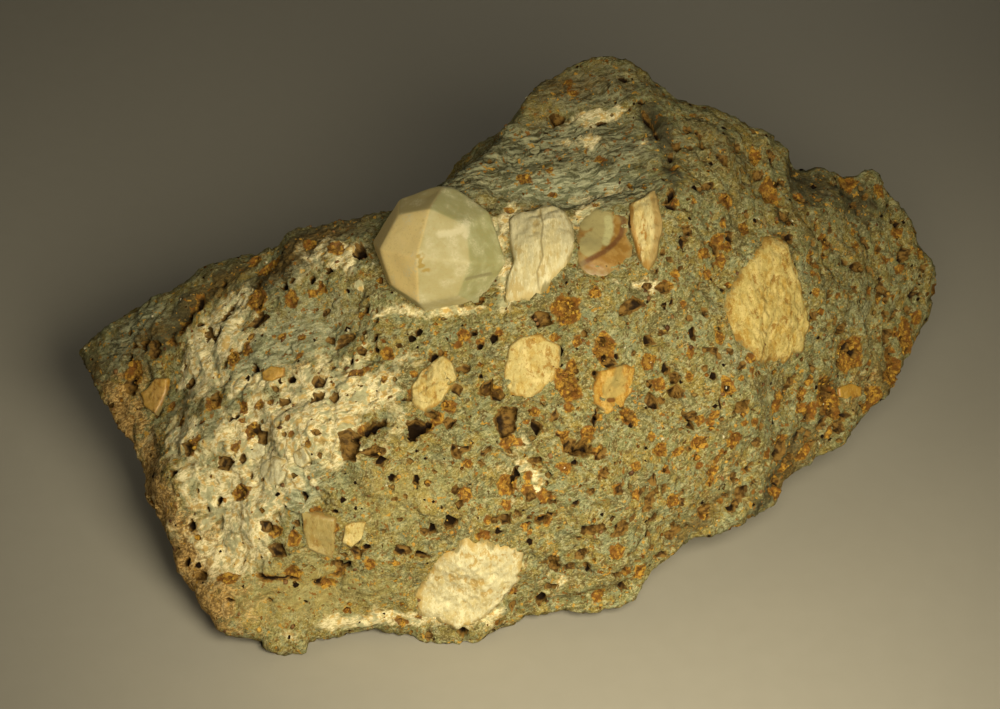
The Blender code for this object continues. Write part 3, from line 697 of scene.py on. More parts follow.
def sink_cracks(points, normals, sink, marks):
    """Sinks the cracks along their bent lines and marks them black inside, brown and ochre beside."""
    seen = seen_at(points)
    for width, deep, line in CRACKS.values():
        away = near_path(seen + 1.2 * swell(points, 2.5, 37)[:, None], np.array(line, float), width)
        away *= (normals @ TOWARD > 0.15) * (0.7 + 0.6 * swell(points, 3, 38)).clip(0.15, 1)
        sink += deep * away
        marks["pit_black_and_shade"] = np.maximum(marks["pit_black_and_shade"], 0.9 * away**3)
        marks["brown"] = np.maximum(marks["brown"], 0.85 * away)
        marks["ochre"] = np.maximum(marks["ochre"], 0.7 * away**0.4 * (away > 0.02))


def over_place(points, column, row, width, height, turn):
    """How far points lie from a place: along it, as the square of the share of its size, and out in mm."""
    spot = seen_spot(column, row)
    side, other = frame_of(smooth_normal(spot, 4.0), turn)
    offset = points - spot
    x, y = offset @ side * 2 / (width * VIEW_STEP), offset @ other * 2 / (height * VIEW_STEP)
    return x * x + y * y, offset @ np.cross(side, other)


def sink_and_mark(points, normals):
    """How far each point goes in at pits, cracks and dents, and the marks of 0 to 1 that the finish reads."""
    sink = np.zeros(len(points))
    marks = {name: np.zeros(len(points)) for name in ("pit_black_and_shade", "brown", "ochre", *WASHES)}
    sink_pits(points, normals, sink, marks)
    sink_cracks(points, normals, sink, marks)
    for mark, places in WASHES.items():
        for *place, most in (wash for group in places.values() for wash in group):
            along, out = over_place(points, *place)
            deep = out / 9
            marks[mark] = np.maximum(marks[mark], most * np.exp(-along * 0.8 - deep * deep))
    for *place, deep in (dent for group in DENTS.values() for dent in group):
        along, out = over_place(points, *place)
        away = out / 7
        sink += deep * np.exp(-(along**2) - away * away)
    return sink, marks


STREAK_WAYS = {"left": (-0.80, -0.35, -0.49), "slope": (0.97, 0.10, 0.22)}


def torn_streaks(points):
    """Sharp crests drawn out along the flow: one minus the size of a swell of points squeezed that way."""
    left = 1 / (1 + np.exp((points[:, 0] + 14) / 3))
    way = unit(left[:, None] * STREAK_WAYS["left"] - (1 - left)[:, None] * STREAK_WAYS["slope"])
    squeezed = points - 0.82 * (points * way).sum(1)[:, None] * way + 0.4 * swell(points, 6, 50)[:, None]
    return 0.18 * (1 - abs(swell(squeezed, 1.9, 51))) + 0.12 * (1 - abs(swell(squeezed, 0.8, 52)))


def rock_relief(points, marks):
    """Height of the broken surface's grain: tilted chips of three sizes, fine lumps, and torn streaks."""
    height = 0.10 * swell(points, 4.2, 31) + 0.05 * swell(points, 1.6, 32) + 0.03 * swell(points, 0.8, 33)
    for size, tilt, seed in ((6.0, 0.045, 40), (2.6, 0.12, 41), (1.1, 0.10, 42)):
        bent = points + 0.15 * size * swell(points, 2.5 * size, seed)[:, None]
        offset, _, own = crumbs(bent, size, seed)
        height += size * tilt * (offset * (own[:, :3] - 0.5)).sum(1) * 2
    height += (0.1 + marks["dark"] + 0.1 * marks["chalk"]) * torn_streaks(points)
    _, nearest, _ = crumbs(points, 0.62, 43)
    height += marks["ochre"] * 0.30 * (0.55 - nearest).clip(0)
    height += marks["chalk"] * 0.10 * (0.55 - nearest).clip(0)
    return height


skin = block_surface(unit(round_ways(ROCK_GRID // 2)[0] + FINER_FRONT * TOWARD))
skin, squares = halved(skin, ROCK_GRID // 2)
normals = outward(skin, squares)
sink, marks = sink_and_mark(skin, normals)
skin = skin + normals * (rock_relief(skin, marks) - sink)[:, None]
skin[:, 2] = skin[:, 2].clip(min=0)
rock = mesh_piece("rock", skin, squares, marks)
simplified(rock, ROCK_TRIANGLES)


class Finish:
    """A material's nodes, made and joined in short calls."""

    def __init__(self, name):
        self.material = bpy.data.materials.new(name)
        self.material.use_nodes = True
        self.nodes = self.material.node_tree.nodes
        self.shader = self.nodes["Principled BSDF"]

    def join(self, source, target):
        self.material.node_tree.links.new(source, target)

    def place(self, stretch=(1, 1, 1), turn=(0, 0, 0), source=None):
        """The piece's own coordinates, or others, for a pattern that is stretched and then turned."""
        mapping = self.nodes.new("ShaderNodeMapping")
        mapping.vector_type = "TEXTURE"
        mapping.inputs["Scale"].default_value = stretch
        mapping.inputs["Rotation"].default_value = turn
        self.join(source or self.nodes.new("ShaderNodeTexCoord").outputs["Object"], mapping.inputs["Vector"])
        return mapping.outputs["Vector"]

    def clouds(self, place, grain_mm, detail, rough, warp=0.0):
        """A noise node with lumps of about a grain size."""
        node = self.nodes.new("ShaderNodeTexNoise")
        values = ("Scale", 1000 / grain_mm), ("Detail", detail), ("Roughness", rough), ("Distortion", warp)
        for name, number in values:
            node.inputs[name].default_value = number
        self.join(place, node.inputs["Vector"])
        return node

    def noise(self, place, grain_mm, detail=3, rough=0.55, warp=0.0):
        """One cloudy noise."""
        return self.clouds(place, grain_mm, detail, rough, warp).outputs["Fac"]

    def noises(self, place, grain_mm, detail, rough):
        """Three unlike cloudy noises."""
        colour = self.clouds(place, grain_mm, detail, rough).outputs["Color"]
        return [self.channel(colour, k) for k in range(3)]

    def cells(self, place, size_mm):
        """Octahedral cells of a size: how far from a cell's middle in cell sizes, and two random numbers."""
        node = self.nodes.new("ShaderNodeTexVoronoi")
        node.distance = "MANHATTAN"
        node.inputs["Scale"].default_value = 1000 / size_mm
        self.join(place, node.inputs["Vector"])
        own = node.outputs["Color"]
        return node.outputs["Distance"], self.channel(own, 0), self.channel(own, 1)

    def warped(self, place, by_mm, grain_mm):
        """The coordinates bent by a noise, so that cells come out uneven."""
        bend = self.clouds(place, grain_mm, 2, 0.5)
        node = self.nodes.new("ShaderNodeVectorMath")
        node.operation = "MULTIPLY_ADD"
        node.inputs[1].default_value = (by_mm * MM,) * 3
        self.join(bend.outputs["Color"], node.inputs[0])
        self.join(place, node.inputs[2])
        return node.outputs["Vector"]

    def mark(self, name):
        """A mark that the mesh carries as an attribute."""
        node = self.nodes.new("ShaderNodeAttribute")
        node.attribute_name = name
        return node.outputs["Fac"]

    def ramp(self, value, low, high, to_low=0.0, to_high=1.0):
        """A value carried smoothly from one range to another."""
        node = self.nodes.new("ShaderNodeMapRange")
        node.interpolation_type = "SMOOTHSTEP"
        for name, number in (("From Min", low), ("From Max", high), ("To Min", to_low), ("To Max", to_high)):
            node.inputs[name].default_value = number
        self.join(value, node.inputs["Value"])
        return node.outputs["Result"]

    def maths(self, operation, first, second):
        """Two values added, multiplied or the like, where the second may be a number."""
        node = self.nodes.new("ShaderNodeMath")
        node.operation = operation
        self.join(first, node.inputs[0])
        if isinstance(second, (int, float)):
            node.inputs[1].default_value = second
        else:
            self.join(second, node.inputs[1])
        return node.outputs[0]

    def about(self, value, by=1.0):
        """A noise carried to lie about 0, times a number."""
        return self.maths("MULTIPLY", self.maths("SUBTRACT", value, 0.5), by)

    def channel(self, colour, which):
        node = self.nodes.new("ShaderNodeSeparateColor")
        self.join(colour, node.inputs[0])
        return node.outputs[which]

    def blend(self, first, second, share):
        """One colour or plain colour value laid over another by a share."""
        node = self.nodes.new("ShaderNodeMix")
        node.data_type = "RGBA"
        sockets = [socket for socket in node.inputs if socket.type == "RGBA"]
        for colour, socket in zip((first, second), sockets):
            if isinstance(colour, tuple):
                socket.default_value = (*colour, 1)
            else:
                self.join(colour, socket)
        self.join(share, node.inputs["Factor"])
        return [socket for socket in node.outputs if socket.type == "RGBA"][0]

    def coats(self, colour, *coats):
        """Colours laid over one another in turn. Each has its colour, the value that its share follows, the
        range over which the share rises from 0, and the most that it comes to."""
        for paint, value, low, high, most in coats:
            colour = self.blend(colour, paint, self.ramp(value, low, high, 0, most))
        return colour

    def bump(self, height, distance_mm, strength=1.0, under=None):
        """The normal over a fine relief, which may lie on another."""
        node = self.nodes.new("ShaderNodeBump")
        node.inputs["Distance"].default_value = distance_mm * MM
        node.inputs["Strength"].default_value = strength
        self.join(height, node.inputs["Height"])
        if under:
            self.join(under, node.inputs["Normal"])
        return node.outputs["Normal"]

    def soften(self, weight):
        """Light that goes in up to about a millimetre, as in wax."""
        self.shader.inputs["Subsurface Weight"].default_value = weight
        self.shader.inputs["Subsurface Radius"].default_value = (0.9, 0.6, 0.35)
        self.shader.inputs["Subsurface Scale"].default_value = MM

    def finish(self, colour, roughness, normal=None):
        self.join(colour, self.shader.inputs["Base Color"])
        self.join(roughness, self.shader.inputs["Roughness"])
        if normal:
            self.join(normal, self.shader.inputs["Normal"])
        return self.material


def rock_finish():
    """Grey-green and olive clots with a fine needle fabric and ochre and rust specks, the marks laid over
    them with ragged edges, painted shade among them, and small angular pits, moulds and crusts in the cells
    of two sizes."""
    rock = Finish("rock_grey_green")
    place = rock.place()
    bent = rock.warped(place, 2.4, 4.5)
    crooked = rock.warped(place, 0.5, 0.8)
    broad, patch, shade = rock.noises(bent, 4.2, 4, 0.62)
    mid, cool, warm = rock.noises(bent, 1.7, 3, 0.62)
    clots, umber, olive = rock.noises(bent, 0.85, 2, 0.6)
    needles = rock.noise(rock.place((2.2, 1, 1), (0, -0.34, 0.27), bent), 0.34, 3, 0.75)
    grit = rock.noise(place, 0.24, 3, 0.7)
    streaks = rock.noise(rock.place((6, 1, 1), (0, -0.2, 0.1), bent), 0.6, 4, 0.75)
    ochre_speck, rust_speck, _ = rock.noises(place, 0.85, 2, 0.6)
    colour = rock.coats(
        (0.175, 0.172, 0.066),
        ((0.225, 0.17, 0.038), broad, 0.42, 0.60, 1),
        ((0.21, 0.225, 0.118), cool, 0.49, 0.60, 0.85),
        ((0.28, 0.20, 0.045), warm, 0.54, 0.64, 0.8),
        ((0.115, 0.072, 0.018), umber, 0.53, 0.62, 0.85),
        ((0.10, 0.082, 0.03), shade, 0.52, 0.62, 0.6),
        ((0.31, 0.30, 0.155), olive, 0.56, 0.66, 0.7),
        ((0.055, 0.045, 0.016), needles, 0.47, 0.36, 0.72),
        ((0.46, 0.42, 0.21), needles, 0.54, 0.65, 0.66),
        ((0.065, 0.05, 0.017), grit, 0.46, 0.36, 0.6),
        ((0.48, 0.42, 0.21), grit, 0.56, 0.66, 0.5),
    )
    ragged = rock.maths("ADD", rock.about(grit), rock.about(mid))
    patchy = rock.maths("ADD", rock.about(patch, 2.0), rock.about(mid))

    def mark(name, rough=0.8, uneven=ragged):
        return rock.maths("ADD", rock.mark(name), rock.maths("MULTIPLY", uneven, rough))

    streaked = rock.coats((0.032, 0.031, 0.015), ((0.33, 0.33, 0.195), streaks, 0.40, 0.62, 1))
    pale = rock.coats((0.17, 0.18, 0.095), ((0.50, 0.50, 0.31), streaks, 0.42, 0.62, 1))
    tan = rock.coats(
        (0.20, 0.105, 0.028),
        ((0.58, 0.36, 0.12), needles, 0.42, 0.58, 1),
        ((0.14, 0.075, 0.022), umber, 0.53, 0.61, 0.8),
    )
    stained = rock.coats((0.07, 0.045, 0.013), ((0.17, 0.105, 0.026), needles, 0.42, 0.6, 1))
    chalk = rock.coats(
        (0.46, 0.385, 0.17),
        ((0.80, 0.70, 0.41), needles, 0.40, 0.55, 1),
        ((0.58, 0.37, 0.10), umber, 0.53, 0.61, 0.8),
        ((0.37, 0.365, 0.20), cool, 0.52, 0.60, 0.8),
    )
    colour = rock.coats(
        colour,
        (streaked, mark("dark"), 0.15, 0.7, 0.8),
        (pale, mark("pale"), 0.35, 0.9, 0.8),
        ((0.40, 0.325, 0.11), mark("tint"), 0.25, 1.0, 0.6),
        (tan, mark("tan", 1.6), 0.25, 0.75, 0.8),
        # Painted shade: the shade washes laid on as near-black.
        ((0.028, 0.023, 0.012), mark("painted_shade", 1.2), 0.15, 0.75, 0.78),
        (stained, mark("stain"), 0.25, 1.0, 0.8),
        ((0.40, 0.22, 0.032), ochre_speck, 0.64, 0.68, 0.9),
        ((0.20, 0.085, 0.012), rust_speck, 0.64, 0.68, 0.9),
        (chalk, mark("chalk", 0.8, patchy), 0.28, 0.62, 0.92),
    )
    ochre = rock.coats(
        (0.13, 0.055, 0.008),
        ((0.41, 0.225, 0.028), clots, 0.42, 0.58, 1),
        ((0.17, 0.062, 0.009), rust_speck, 0.46, 0.58, 0.8),
        ((0.07, 0.028, 0.004), grit, 0.47, 0.38, 0.7),
    )
    brown = rock.coats((0.055, 0.026, 0.004), ((0.19, 0.105, 0.022), clots, 0.36, 0.60, 1))
    black = (0.009, 0.004, 0.001)
    height = rock.maths("MULTIPLY", rock.maths("MULTIPLY", streaks, rock.mark("dark")), 0.6)
    for grain, share in ((clots, 0.18), (needles, 0.10), (grit, 0.063)):
        height = rock.maths("ADD", rock.maths("MULTIPLY", grain, share), height)
    relief = rock.bump(height, 1)
    covered = rock.maths("MULTIPLY", rock.maths("MAXIMUM", rock.mark("chalk"), rock.mark("dark")), 0.16)
    for size, most in ((2.3, 0.34), (1.2, 0.36)):
        away, width, kind = rock.cells(crooked, size)
        width = rock.maths("SUBTRACT", rock.ramp(width, 0.35, 1.0, -0.02, most), covered)
        inside = rock.maths("SUBTRACT", width, away)
        mould = rock.coats(brown, ((0.23, 0.15, 0.04), kind, 0.30, 0.55, 0.8))
        for paint, (rim, floor), (first, last) in (
            (ochre, (-0.06, 0.0), (0.60, 0.62)),
            (mould, (-0.03, 0.0), (0.62, 0.60)),
            (black, (0.0, 0.06), (0.28, 0.26)),
        ):
            share = rock.maths("MULTIPLY", rock.ramp(inside, rim, floor), rock.ramp(kind, first, last))
            colour = rock.blend(colour, paint, share)
        relief = rock.bump(rock.ramp(inside, -0.04, 0.08, 1, 0), 0.3 * size, 0.8, relief)
    colour = rock.coats(
        colour,
        (ochre, mark("ochre"), 0.32, 0.60, 0.95),
        (brown, mark("brown", 0.2), 0.42, 0.58, 0.97),
        # Black in pits and cracks, with painted shade on one side of holes and moulds.
        (black, mark("pit_black_and_shade", 0.15), 0.35, 0.62, 0.97),
    )
    rock.shader.inputs["Specular IOR Level"].default_value = 0.12
    return rock.finish(colour, rock.ramp(rock.mark("brown"), 0.3, 0.9, 0.9, 0.7), relief)


rock.data.materials.clear()
rock.data.materials.append(rock_finish())
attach(rock, "root")
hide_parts("matrix")

# ---- The large crystal -----------------------------------------------------------------------------------
# A whole pseudoleucite crystal that grew in the lava and stands out of it: a trapezohedron with 24
# kite-shaped faces, its edges worn and chipped, waxy and each face a slightly different cream, with painted
# shade on the upper faces and partly on the darker green faces.
MAIN_CRYSTAL = {"spot": (439, 252), "depth": -1.6, "reach": 9.8, "outward": (-0.28, -0.12, 0.953), "turn": 9,
                "worn": 0.075}
MAIN_TAN = {(2, -1, 1): 0.75, (2, -1, -1): 0.95, (1, -2, 1): 0.9, (1, -2, -1): 1.0, (1, -1, 2): 0.9}
# Darker green faces on the right and top: partly their own tint, partly painted shade.
MAIN_GREEN = {
    (1, 1, 2): 1.0, (1, 2, 1): 0.9, (1, 2, -1): 0.9, (-1, 1, 2): 1.0, (-1, 2, 1): 0.9, (1, -1, 2): 0.55,
}
# Painted shade on the upper faces.
MAIN_SHADE = {(1, -1, 2): 0.5, (1, 1, 2): 0.3, (-1, -1, 2): 0.4, (-1, 1, 2): 0.2}
MAIN_CRACK = ((467, 279), (471, 278), (480, 276), (490, 274), (506, 271))
MAIN_CHIP = ((440, 234), (452, 233), (463, 229), (467, 222), (466, 235))
MAIN_STAIN = ((420, 256), (421, 266), (426, 270))
MAIN_SMUDGE = ((424, 219), (420, 227), (423, 236))
KITES = np.array([way for way in np.ndindex(5, 5, 5)]) - 2
KITES = KITES[(np.sort(abs(KITES)) == (1, 1, 2)).all(1)]


def crystal_axes(outward, turn):
    """The crystal's own axes: the first points outwards, and the third points up, turned clockwise."""
    first = unit(ACROSS * outward[0] + UP * outward[1] + TOWARD * outward[2])
    third = unit(UP - first * (UP @ first))
    third = np.array(Quaternion(first, math.radians(-turn)) @ Vector(third))
    return np.array((first, np.cross(third, first), third))


def kite_shares(ways, sharpness, worn=0.0):
    """For each direction, the share of each of the 24 faces when the nearest is taken softly, from its reach
    along the face's normal over the face's distance, and the reach to the surface that follows. The corner on
    the third axis may be worn flat by a share of the reach."""
    power = ((ways @ unit(KITES).T).clip(0) / math.sqrt(2 / 3)) ** sharpness
    flat = (ways[:, 2] / (1 - worn)).clip(0) ** sharpness if worn else 0
    total = power.sum(1)
    return power / total[:, None], 1 / (total + flat) ** (1 / sharpness)


def face_tone(shares, tones):
    """A tone of 0 to 1 over the crystal from the named faces' tones."""
    return shares @ np.array([tones.get(tuple(kite), 0.0) for kite in KITES.tolist()])


def on_crystal(spots, centre, axes, reach):
    """Where the eye sees a whole crystal at some columns and rows."""
    ways, squares = round_ways(40)
    shell = centre + reach * kite_shares(ways @ axes.T, 60)[1][:, None] * ways
    tree = BVHTree.FromPolygons(shell.tolist(), squares.tolist())
    aims = [aimed_at(*spot) for spot in spots]
    return np.array([tree.ray_cast(Vector(EYE), Vector(aim - EYE))[0] or aim for aim in aims])


def whole_crystal(sizes, grid, sharpness):
    """A trapezohedron with worn edges over directions from its centre: its points, squares and directions,
    the shares of its faces with crisper bounds than its edges have, its centre and its axes."""
    centre = seen_spot(*sizes["spot"]) + unit(aimed_at(*sizes["spot"]) - EYE) * sizes["depth"]
    axes = crystal_axes(sizes["outward"], sizes["turn"])
    ways, squares = round_ways(grid)
    reach = kite_shares(ways @ axes.T, sharpness, sizes["worn"])[1]
    shares = kite_shares(ways @ axes.T, 3 * sharpness)[0]
    return centre + sizes["reach"] * reach[:, None] * ways, squares, ways, shares, centre, axes


points, squares, ways, shares, centre, axes = whole_crystal(MAIN_CRYSTAL, 120, 56)
crack_line, chip_line, stain_line, smudge_line = (
    on_crystal(spots, centre, axes, MAIN_CRYSTAL["reach"])
    for spots in (MAIN_CRACK, MAIN_CHIP, MAIN_STAIN, MAIN_SMUDGE)
)
crack = near_path(points, crack_line, 0.42)
chip = near_path(points, chip_line, 0.7)
stain = np.maximum(near_path(points, stain_line, 0.65), 0.45 * near_path(points, smudge_line, 0.5))
stain *= (0.75 + 0.6 * swell(points, 1.0, 67)).clip(0, 1)
height = 0.02 * swell(points, 4.5, 64) + 0.004 * swell(points, 0.9, 65)
height -= 0.06 * crack + 0.05 * chip
points += height[:, None] * ways
tones = {"tan": MAIN_TAN, "green": MAIN_GREEN, "shade": MAIN_SHADE}
marks = {mark: face_tone(shares, faces) for mark, faces in tones.items()}
marks.update(chip=chip, crack=crack, stain=stain)
main_crystal = mesh_piece("large_crystal", points, squares, marks)


def waxy_finish(name):
    """Cream with tan and pale green faces, painted shade on the upper faces and partly on the green ones, a
    soft waxy sheen, faint mottling, and pale worn edges.
    """
    wax = Finish(name)
    place = wax.place()
    cloud = wax.noise(place, 2.4, 4, 0.6)
    fine = wax.noise(place, 0.35, 3, 0.7)
    green = wax.coats((0.30, 0.295, 0.125), ((0.36, 0.355, 0.175), cloud, 0.40, 0.60, 1))
    colour = wax.coats((0.41, 0.355, 0.165), ((0.455, 0.405, 0.215), cloud, 0.40, 0.60, 1))
    colour = wax.blend(colour, (0.72, 0.55, 0.225), wax.mark("tan"))
    colour = wax.coats(
        colour,
        # The green faces are darker, partly as painted shade; the shade mark paints shade on the upper faces.
        (green, wax.mark("green"), 0, 1, 0.9),
        ((0.24, 0.18, 0.08), wax.mark("shade"), 0, 1, 0.8),
        ((0.38, 0.27, 0.10), fine, 0.54, 0.66, 0.30),
    )
    patches = wax.maths("MULTIPLY", wax.ramp(cloud, 0.53, 0.62), wax.ramp(fine, 0.45, 0.58, 0, 0.5))
    colour = wax.blend(colour, (0.58, 0.53, 0.33), patches)
    colour = wax.coats(
        colour,
        ((0.66, 0.60, 0.39), wax.maths("ADD", wax.mark("chip"), wax.about(fine)), 0.3, 0.9, 0.55),
        ((0.36, 0.24, 0.045), wax.mark("stain"), 0.2, 0.8, 0.8),
        ((0.22, 0.19, 0.09), wax.maths("ADD", wax.mark("crack"), wax.about(fine)), 0.3, 1.0, 0.7),
    )
    wax.shader.inputs["Specular IOR Level"].default_value = 0.25
    wax.soften(0.12)
    relief = wax.bump(fine, 0.03, 0.5)
    return wax.finish(colour, wax.ramp(cloud, 0.3, 0.7, 0.52, 0.64), relief)


def place_crystal(piece, node, finish):
    """The piece stands for its solid and takes its finish."""
    piece.data.materials.clear()
    piece.data.materials.append(finish)
    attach(piece, "root")
    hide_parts(node)


place_crystal(main_crystal, "crystal_main", waxy_finish("crystal_cream_waxy"))

# ---- The broken crystals ---------------------------------------------------------------------------------
# Crystals broken through when the block was split, so that each shows a rough cut face a little above the
# rock inside its own angular outline. Most are chalky with ochre in their seams.
WHITE_OUTLINE = (
    (509, 219), (520, 213), (534, 212), (546, 205), (565, 212), (573, 224), (575, 245), (566, 266),
    (546, 288), (530, 300), (504, 301), (506, 284), (514, 262), (508, 240),
)
WHITE_CREASE = ((540, 210), (543, 224), (541, 242), (543, 256), (537, 272), (539, 290))
STRIPED_OUTLINE = (
    (629, 205), (640, 198), (652, 191), (660, 212), (662, 234), (657, 258), (648, 272), (640, 266),
    (634, 246), (628, 226),
)
CHALKY = {
    "crystal_large_right": (
        0.6,
        (
            (768, 235), (785, 242), (793, 259), (804, 300), (810, 326), (800, 352), (785, 363), (759, 363),
            (741, 343), (726, 332), (723, 306), (735, 279), (754, 253),
        ),
    ),
    "crystal_centre": (
        0.5,
        (
            (509, 346), (520, 338), (541, 333), (559, 346), (561, 360), (554, 378), (541, 392), (527, 399),
            (513, 396), (503, 385), (504, 367),
        ),
    ),
    "crystal_centre_left": (
        0.4,
        (
            (442, 355), (453, 362), (457, 378), (449, 392), (435, 408), (421, 411), (412, 401), (410, 387),
            (421, 371),
        ),
    ),
    "crystal_foot": (
        0.6,
        (
            (469, 539), (490, 542), (518, 546), (523, 559), (518, 582), (499, 605), (479, 620), (449, 628),
            (419, 615), (414, 596), (428, 575), (440, 553),
        ),
    ),
    "crystal_granular": (0.4, ((345, 525), (354, 522), (366, 522), (362, 538), (351, 547), (342, 542))),
}
BANDED_OUTLINE = (
    (580, 222), (590, 210), (604, 205), (619, 207), (628, 218), (633, 240), (634, 260), (622, 271),
    (602, 278), (586, 275), (577, 263), (576, 240),
)
RED_BAND = ((580, 265), (590, 259), (604, 252), (614, 244), (621, 235), (624, 222), (620, 211))
PALE_CORE = ((608, 219), (609, 230), (606, 242))
BAND_INSIDE = ((586, 220), (602, 212), (604, 232), (588, 246))
STRIPED_RUST = ((632, 208), (631, 222), (636, 240), (638, 252))
STRIPED_SHADE = ((655, 196), (660, 214), (660, 238), (654, 262))
STRIPED_PINHOLES = ((628, 213), (629, 217), (629, 224), (630, 227))
RING_CORE = ((620, 366), (618, 374), (615, 384))
RING_SPOT = ((609, 400), (613, 400))
RINGED_OUTLINE = (
    (600, 371), (612, 368), (626, 364), (635, 368), (632, 392), (623, 406), (607, 414), (594, 403),
    (593, 387),
)
HONEY = {
    "crystal_amber_left": (
        0.5,
        ((156, 378), (168, 378), (168, 388), (163, 403), (156, 416), (144, 406), (140, 393)),
    ),
    "crystal_glassy": (
        0.35,
        ((301, 511), (319, 514), (336, 518), (335, 540), (333, 560), (324, 556), (309, 550), (303, 524)),
    ),
    "crystal_amber_small": (0.35, ((262, 373), (272, 366), (286, 368), (285, 376), (272, 382), (263, 380))),
    "crystal_brown_right": (0.35, ((838, 388), (850, 383), (862, 387), (862, 396), (850, 401), (839, 397))),
}
PALE = {
    "crystal_pale_hexagon": (0.3, ((294, 451), (304, 447), (311, 455), (311, 461), (302, 468), (295, 464))),
    "crystal_pale_left": (
        0.4,
        ((262, 463), (274, 456), (286, 459), (289, 472), (280, 485), (267, 486), (261, 476)),
    ),
    "crystal_pale_high": (0.3, ((245, 448), (255, 442), (266, 446), (266, 456), (256, 461), (246, 458))),
}
# On the sides away from the viewer: a direction out of the block's centre, then radius and height in mm.
BACK_CRYSTALS = {
    "crystal_back_upper": ((0.45, 0.75, 0.42), 5.2, 0.5),
    "crystal_back_left": ((-0.55, 0.80, 0.15), 4.2, 0.4),
    "crystal_back_low": ((0.10, 0.97, -0.20), 3.4, 0.4),
    "crystal_back_right": ((0.82, 0.55, -0.15), 3.0, 0.4),
    "crystal_back_crest": ((-0.20, 0.85, 0.45), 2.6, 0.35),
}
SPOKES = 168  # points round each ring of a cut face
FACE_RINGS = 46
SIDE = ((0.25, 1.015), (0.7, 1.02), (1.3, 0.98), (1.6, 0.5))  # the side's depths in mm, and its spread


def back_rim(way, radius):
    """An uneven eight-sided outline on the block round where a direction leaves it."""
    spot = outward_spot(way)
    normal = Vector(smooth_normal(spot, radius))
    side = np.array(normal.orthogonal().normalized())
    other = np.cross(normal, side)
    number = np.arange(8)[:, None]
    turn = number * math.pi / 4
    reach = radius * (1 + 0.12 * np.sin(1.9 * number + 7 * radius))
    return spot + (side * np.cos(turn) + other * 0.85 * np.sin(turn)) * reach


def drawn_round(rim, ragged, seed, rounding=2):
    """A closed outline through its corners, evenly spaced, with its corners rounded and its edge ragged."""
    runs = np.roll(rim, -1, 0) - rim
    lengths = np.linalg.norm(runs, axis=1)
    ends = np.append(0, np.cumsum(lengths))
    way = np.arange(SPOKES) * ends[-1] / SPOKES
    run = np.searchsorted(ends, way, "right") - 1
    line = rim[run] + runs[run] * ((way - ends[run]) / lengths[run])[:, None]
    for _ in range(rounding):
        line = (np.roll(line, 1, 0) + line + np.roll(line, -1, 0)) / 3
    middle = line.mean(0)
    uneven = ragged * (swell(line, 2.4, seed) + 0.2 * swell(line, 0.8, seed))
    return line + (line - middle) * uneven[:, None]


def dressed(points):
    """Points moved onto the block's own surface, along directions out of its centre."""
    return block_surface(unit((points - BLOCK_CENTRE) / BLOCK_REACH))


def closed_rings(rings):
    """Triangles for rings of points from one pole to the other, and the points with a pole at each end."""
    count, spokes = rings.shape[:2]
    points = np.concatenate([rings[0].mean(0)[None], rings.reshape(-1, 3), rings[-1].mean(0)[None]])
    ring, spoke = np.meshgrid(np.arange(count - 1), np.arange(spokes), indexing="ij")
    here, beside = 1 + ring * spokes + spoke, 1 + ring * spokes + (spoke + 1) % spokes
    squares = np.stack([here, here + spokes, beside + spokes, here, beside + spokes, beside], -1)
    first = 1 + np.arange(spokes)
    following = 1 + (np.arange(spokes) + 1) % spokes
    top = np.stack([np.zeros(spokes, int), first, following], -1)
    last = (count - 1) * spokes
    bottom = np.stack([np.full(spokes, len(points) - 1), last + following, last + first], -1)
    return points, np.concatenate([top, squares.reshape(-1, 3), bottom])


def broken_crystal(name, rim, proud, seed, roughness_mm, fibre, ragged=0.012, dome=14, rounding=2, lines=()):
    """A cut face inside its outline: rings from its middle to its rim on the block's surface, raised with
    rough lumps and fibres, then down the side into the rock and closed below. Lines become marks."""
    line = drawn_round(rim, ragged, seed, rounding)
    middle = line.mean(0)
    normal = smooth_normal(dressed(middle[None])[0], np.linalg.norm(line - middle, axis=1).max())
    share = ((np.arange(FACE_RINGS) + 0.5) / FACE_RINGS) ** 0.8
    face = dressed((middle + (line - middle) * share[:, None, None]).reshape(-1, 3))
    out = np.repeat(share, SPOKES)
    side, other = frame_of(normal, 0)
    local = np.stack([(face - middle) @ side, (face - middle) @ other, (face - middle) @ normal], 1)
    fibres = swell(local * (1, 1 - fibre, 1), 0.9, seed + 1)
    grain = 0.6 * swell(local, 1.9, seed + 2) + 0.4 * fibres
    _, nearest, own = crumbs(local, 0.9, seed + 3)
    grain += 1.4 * (0.45 - nearest) + 0.8 * (own[:, 0] - 0.5)
    lift = proud * (1 - out**dome) + roughness_mm * grain * (1 - 0.6 * out**8)
    face = (face + normal * lift[:, None]).reshape(FACE_RINGS, SPOKES, 3)
    skirt = [dressed(middle + (line - middle) * spread) - normal * deep for deep, spread in SIDE]
    points, faces = closed_rings(np.concatenate([face, np.array(skirt)]))
    below = np.ones(len(skirt) * SPOKES)
    marks = {
        "out": np.concatenate([[0], out, below, [1]]),
        "fold": np.concatenate([[0], grain, below * 0, [0]]),
    }
    marks.update({mark: near_line(points, *line) for mark, line in dict(lines).items()})
    return mesh_piece(name, points, faces, marks)


def seen_rim(outline):
    """An outline of columns and rows, carried onto the block."""
    return np.array([seen_spot(*spot) for spot in outline])


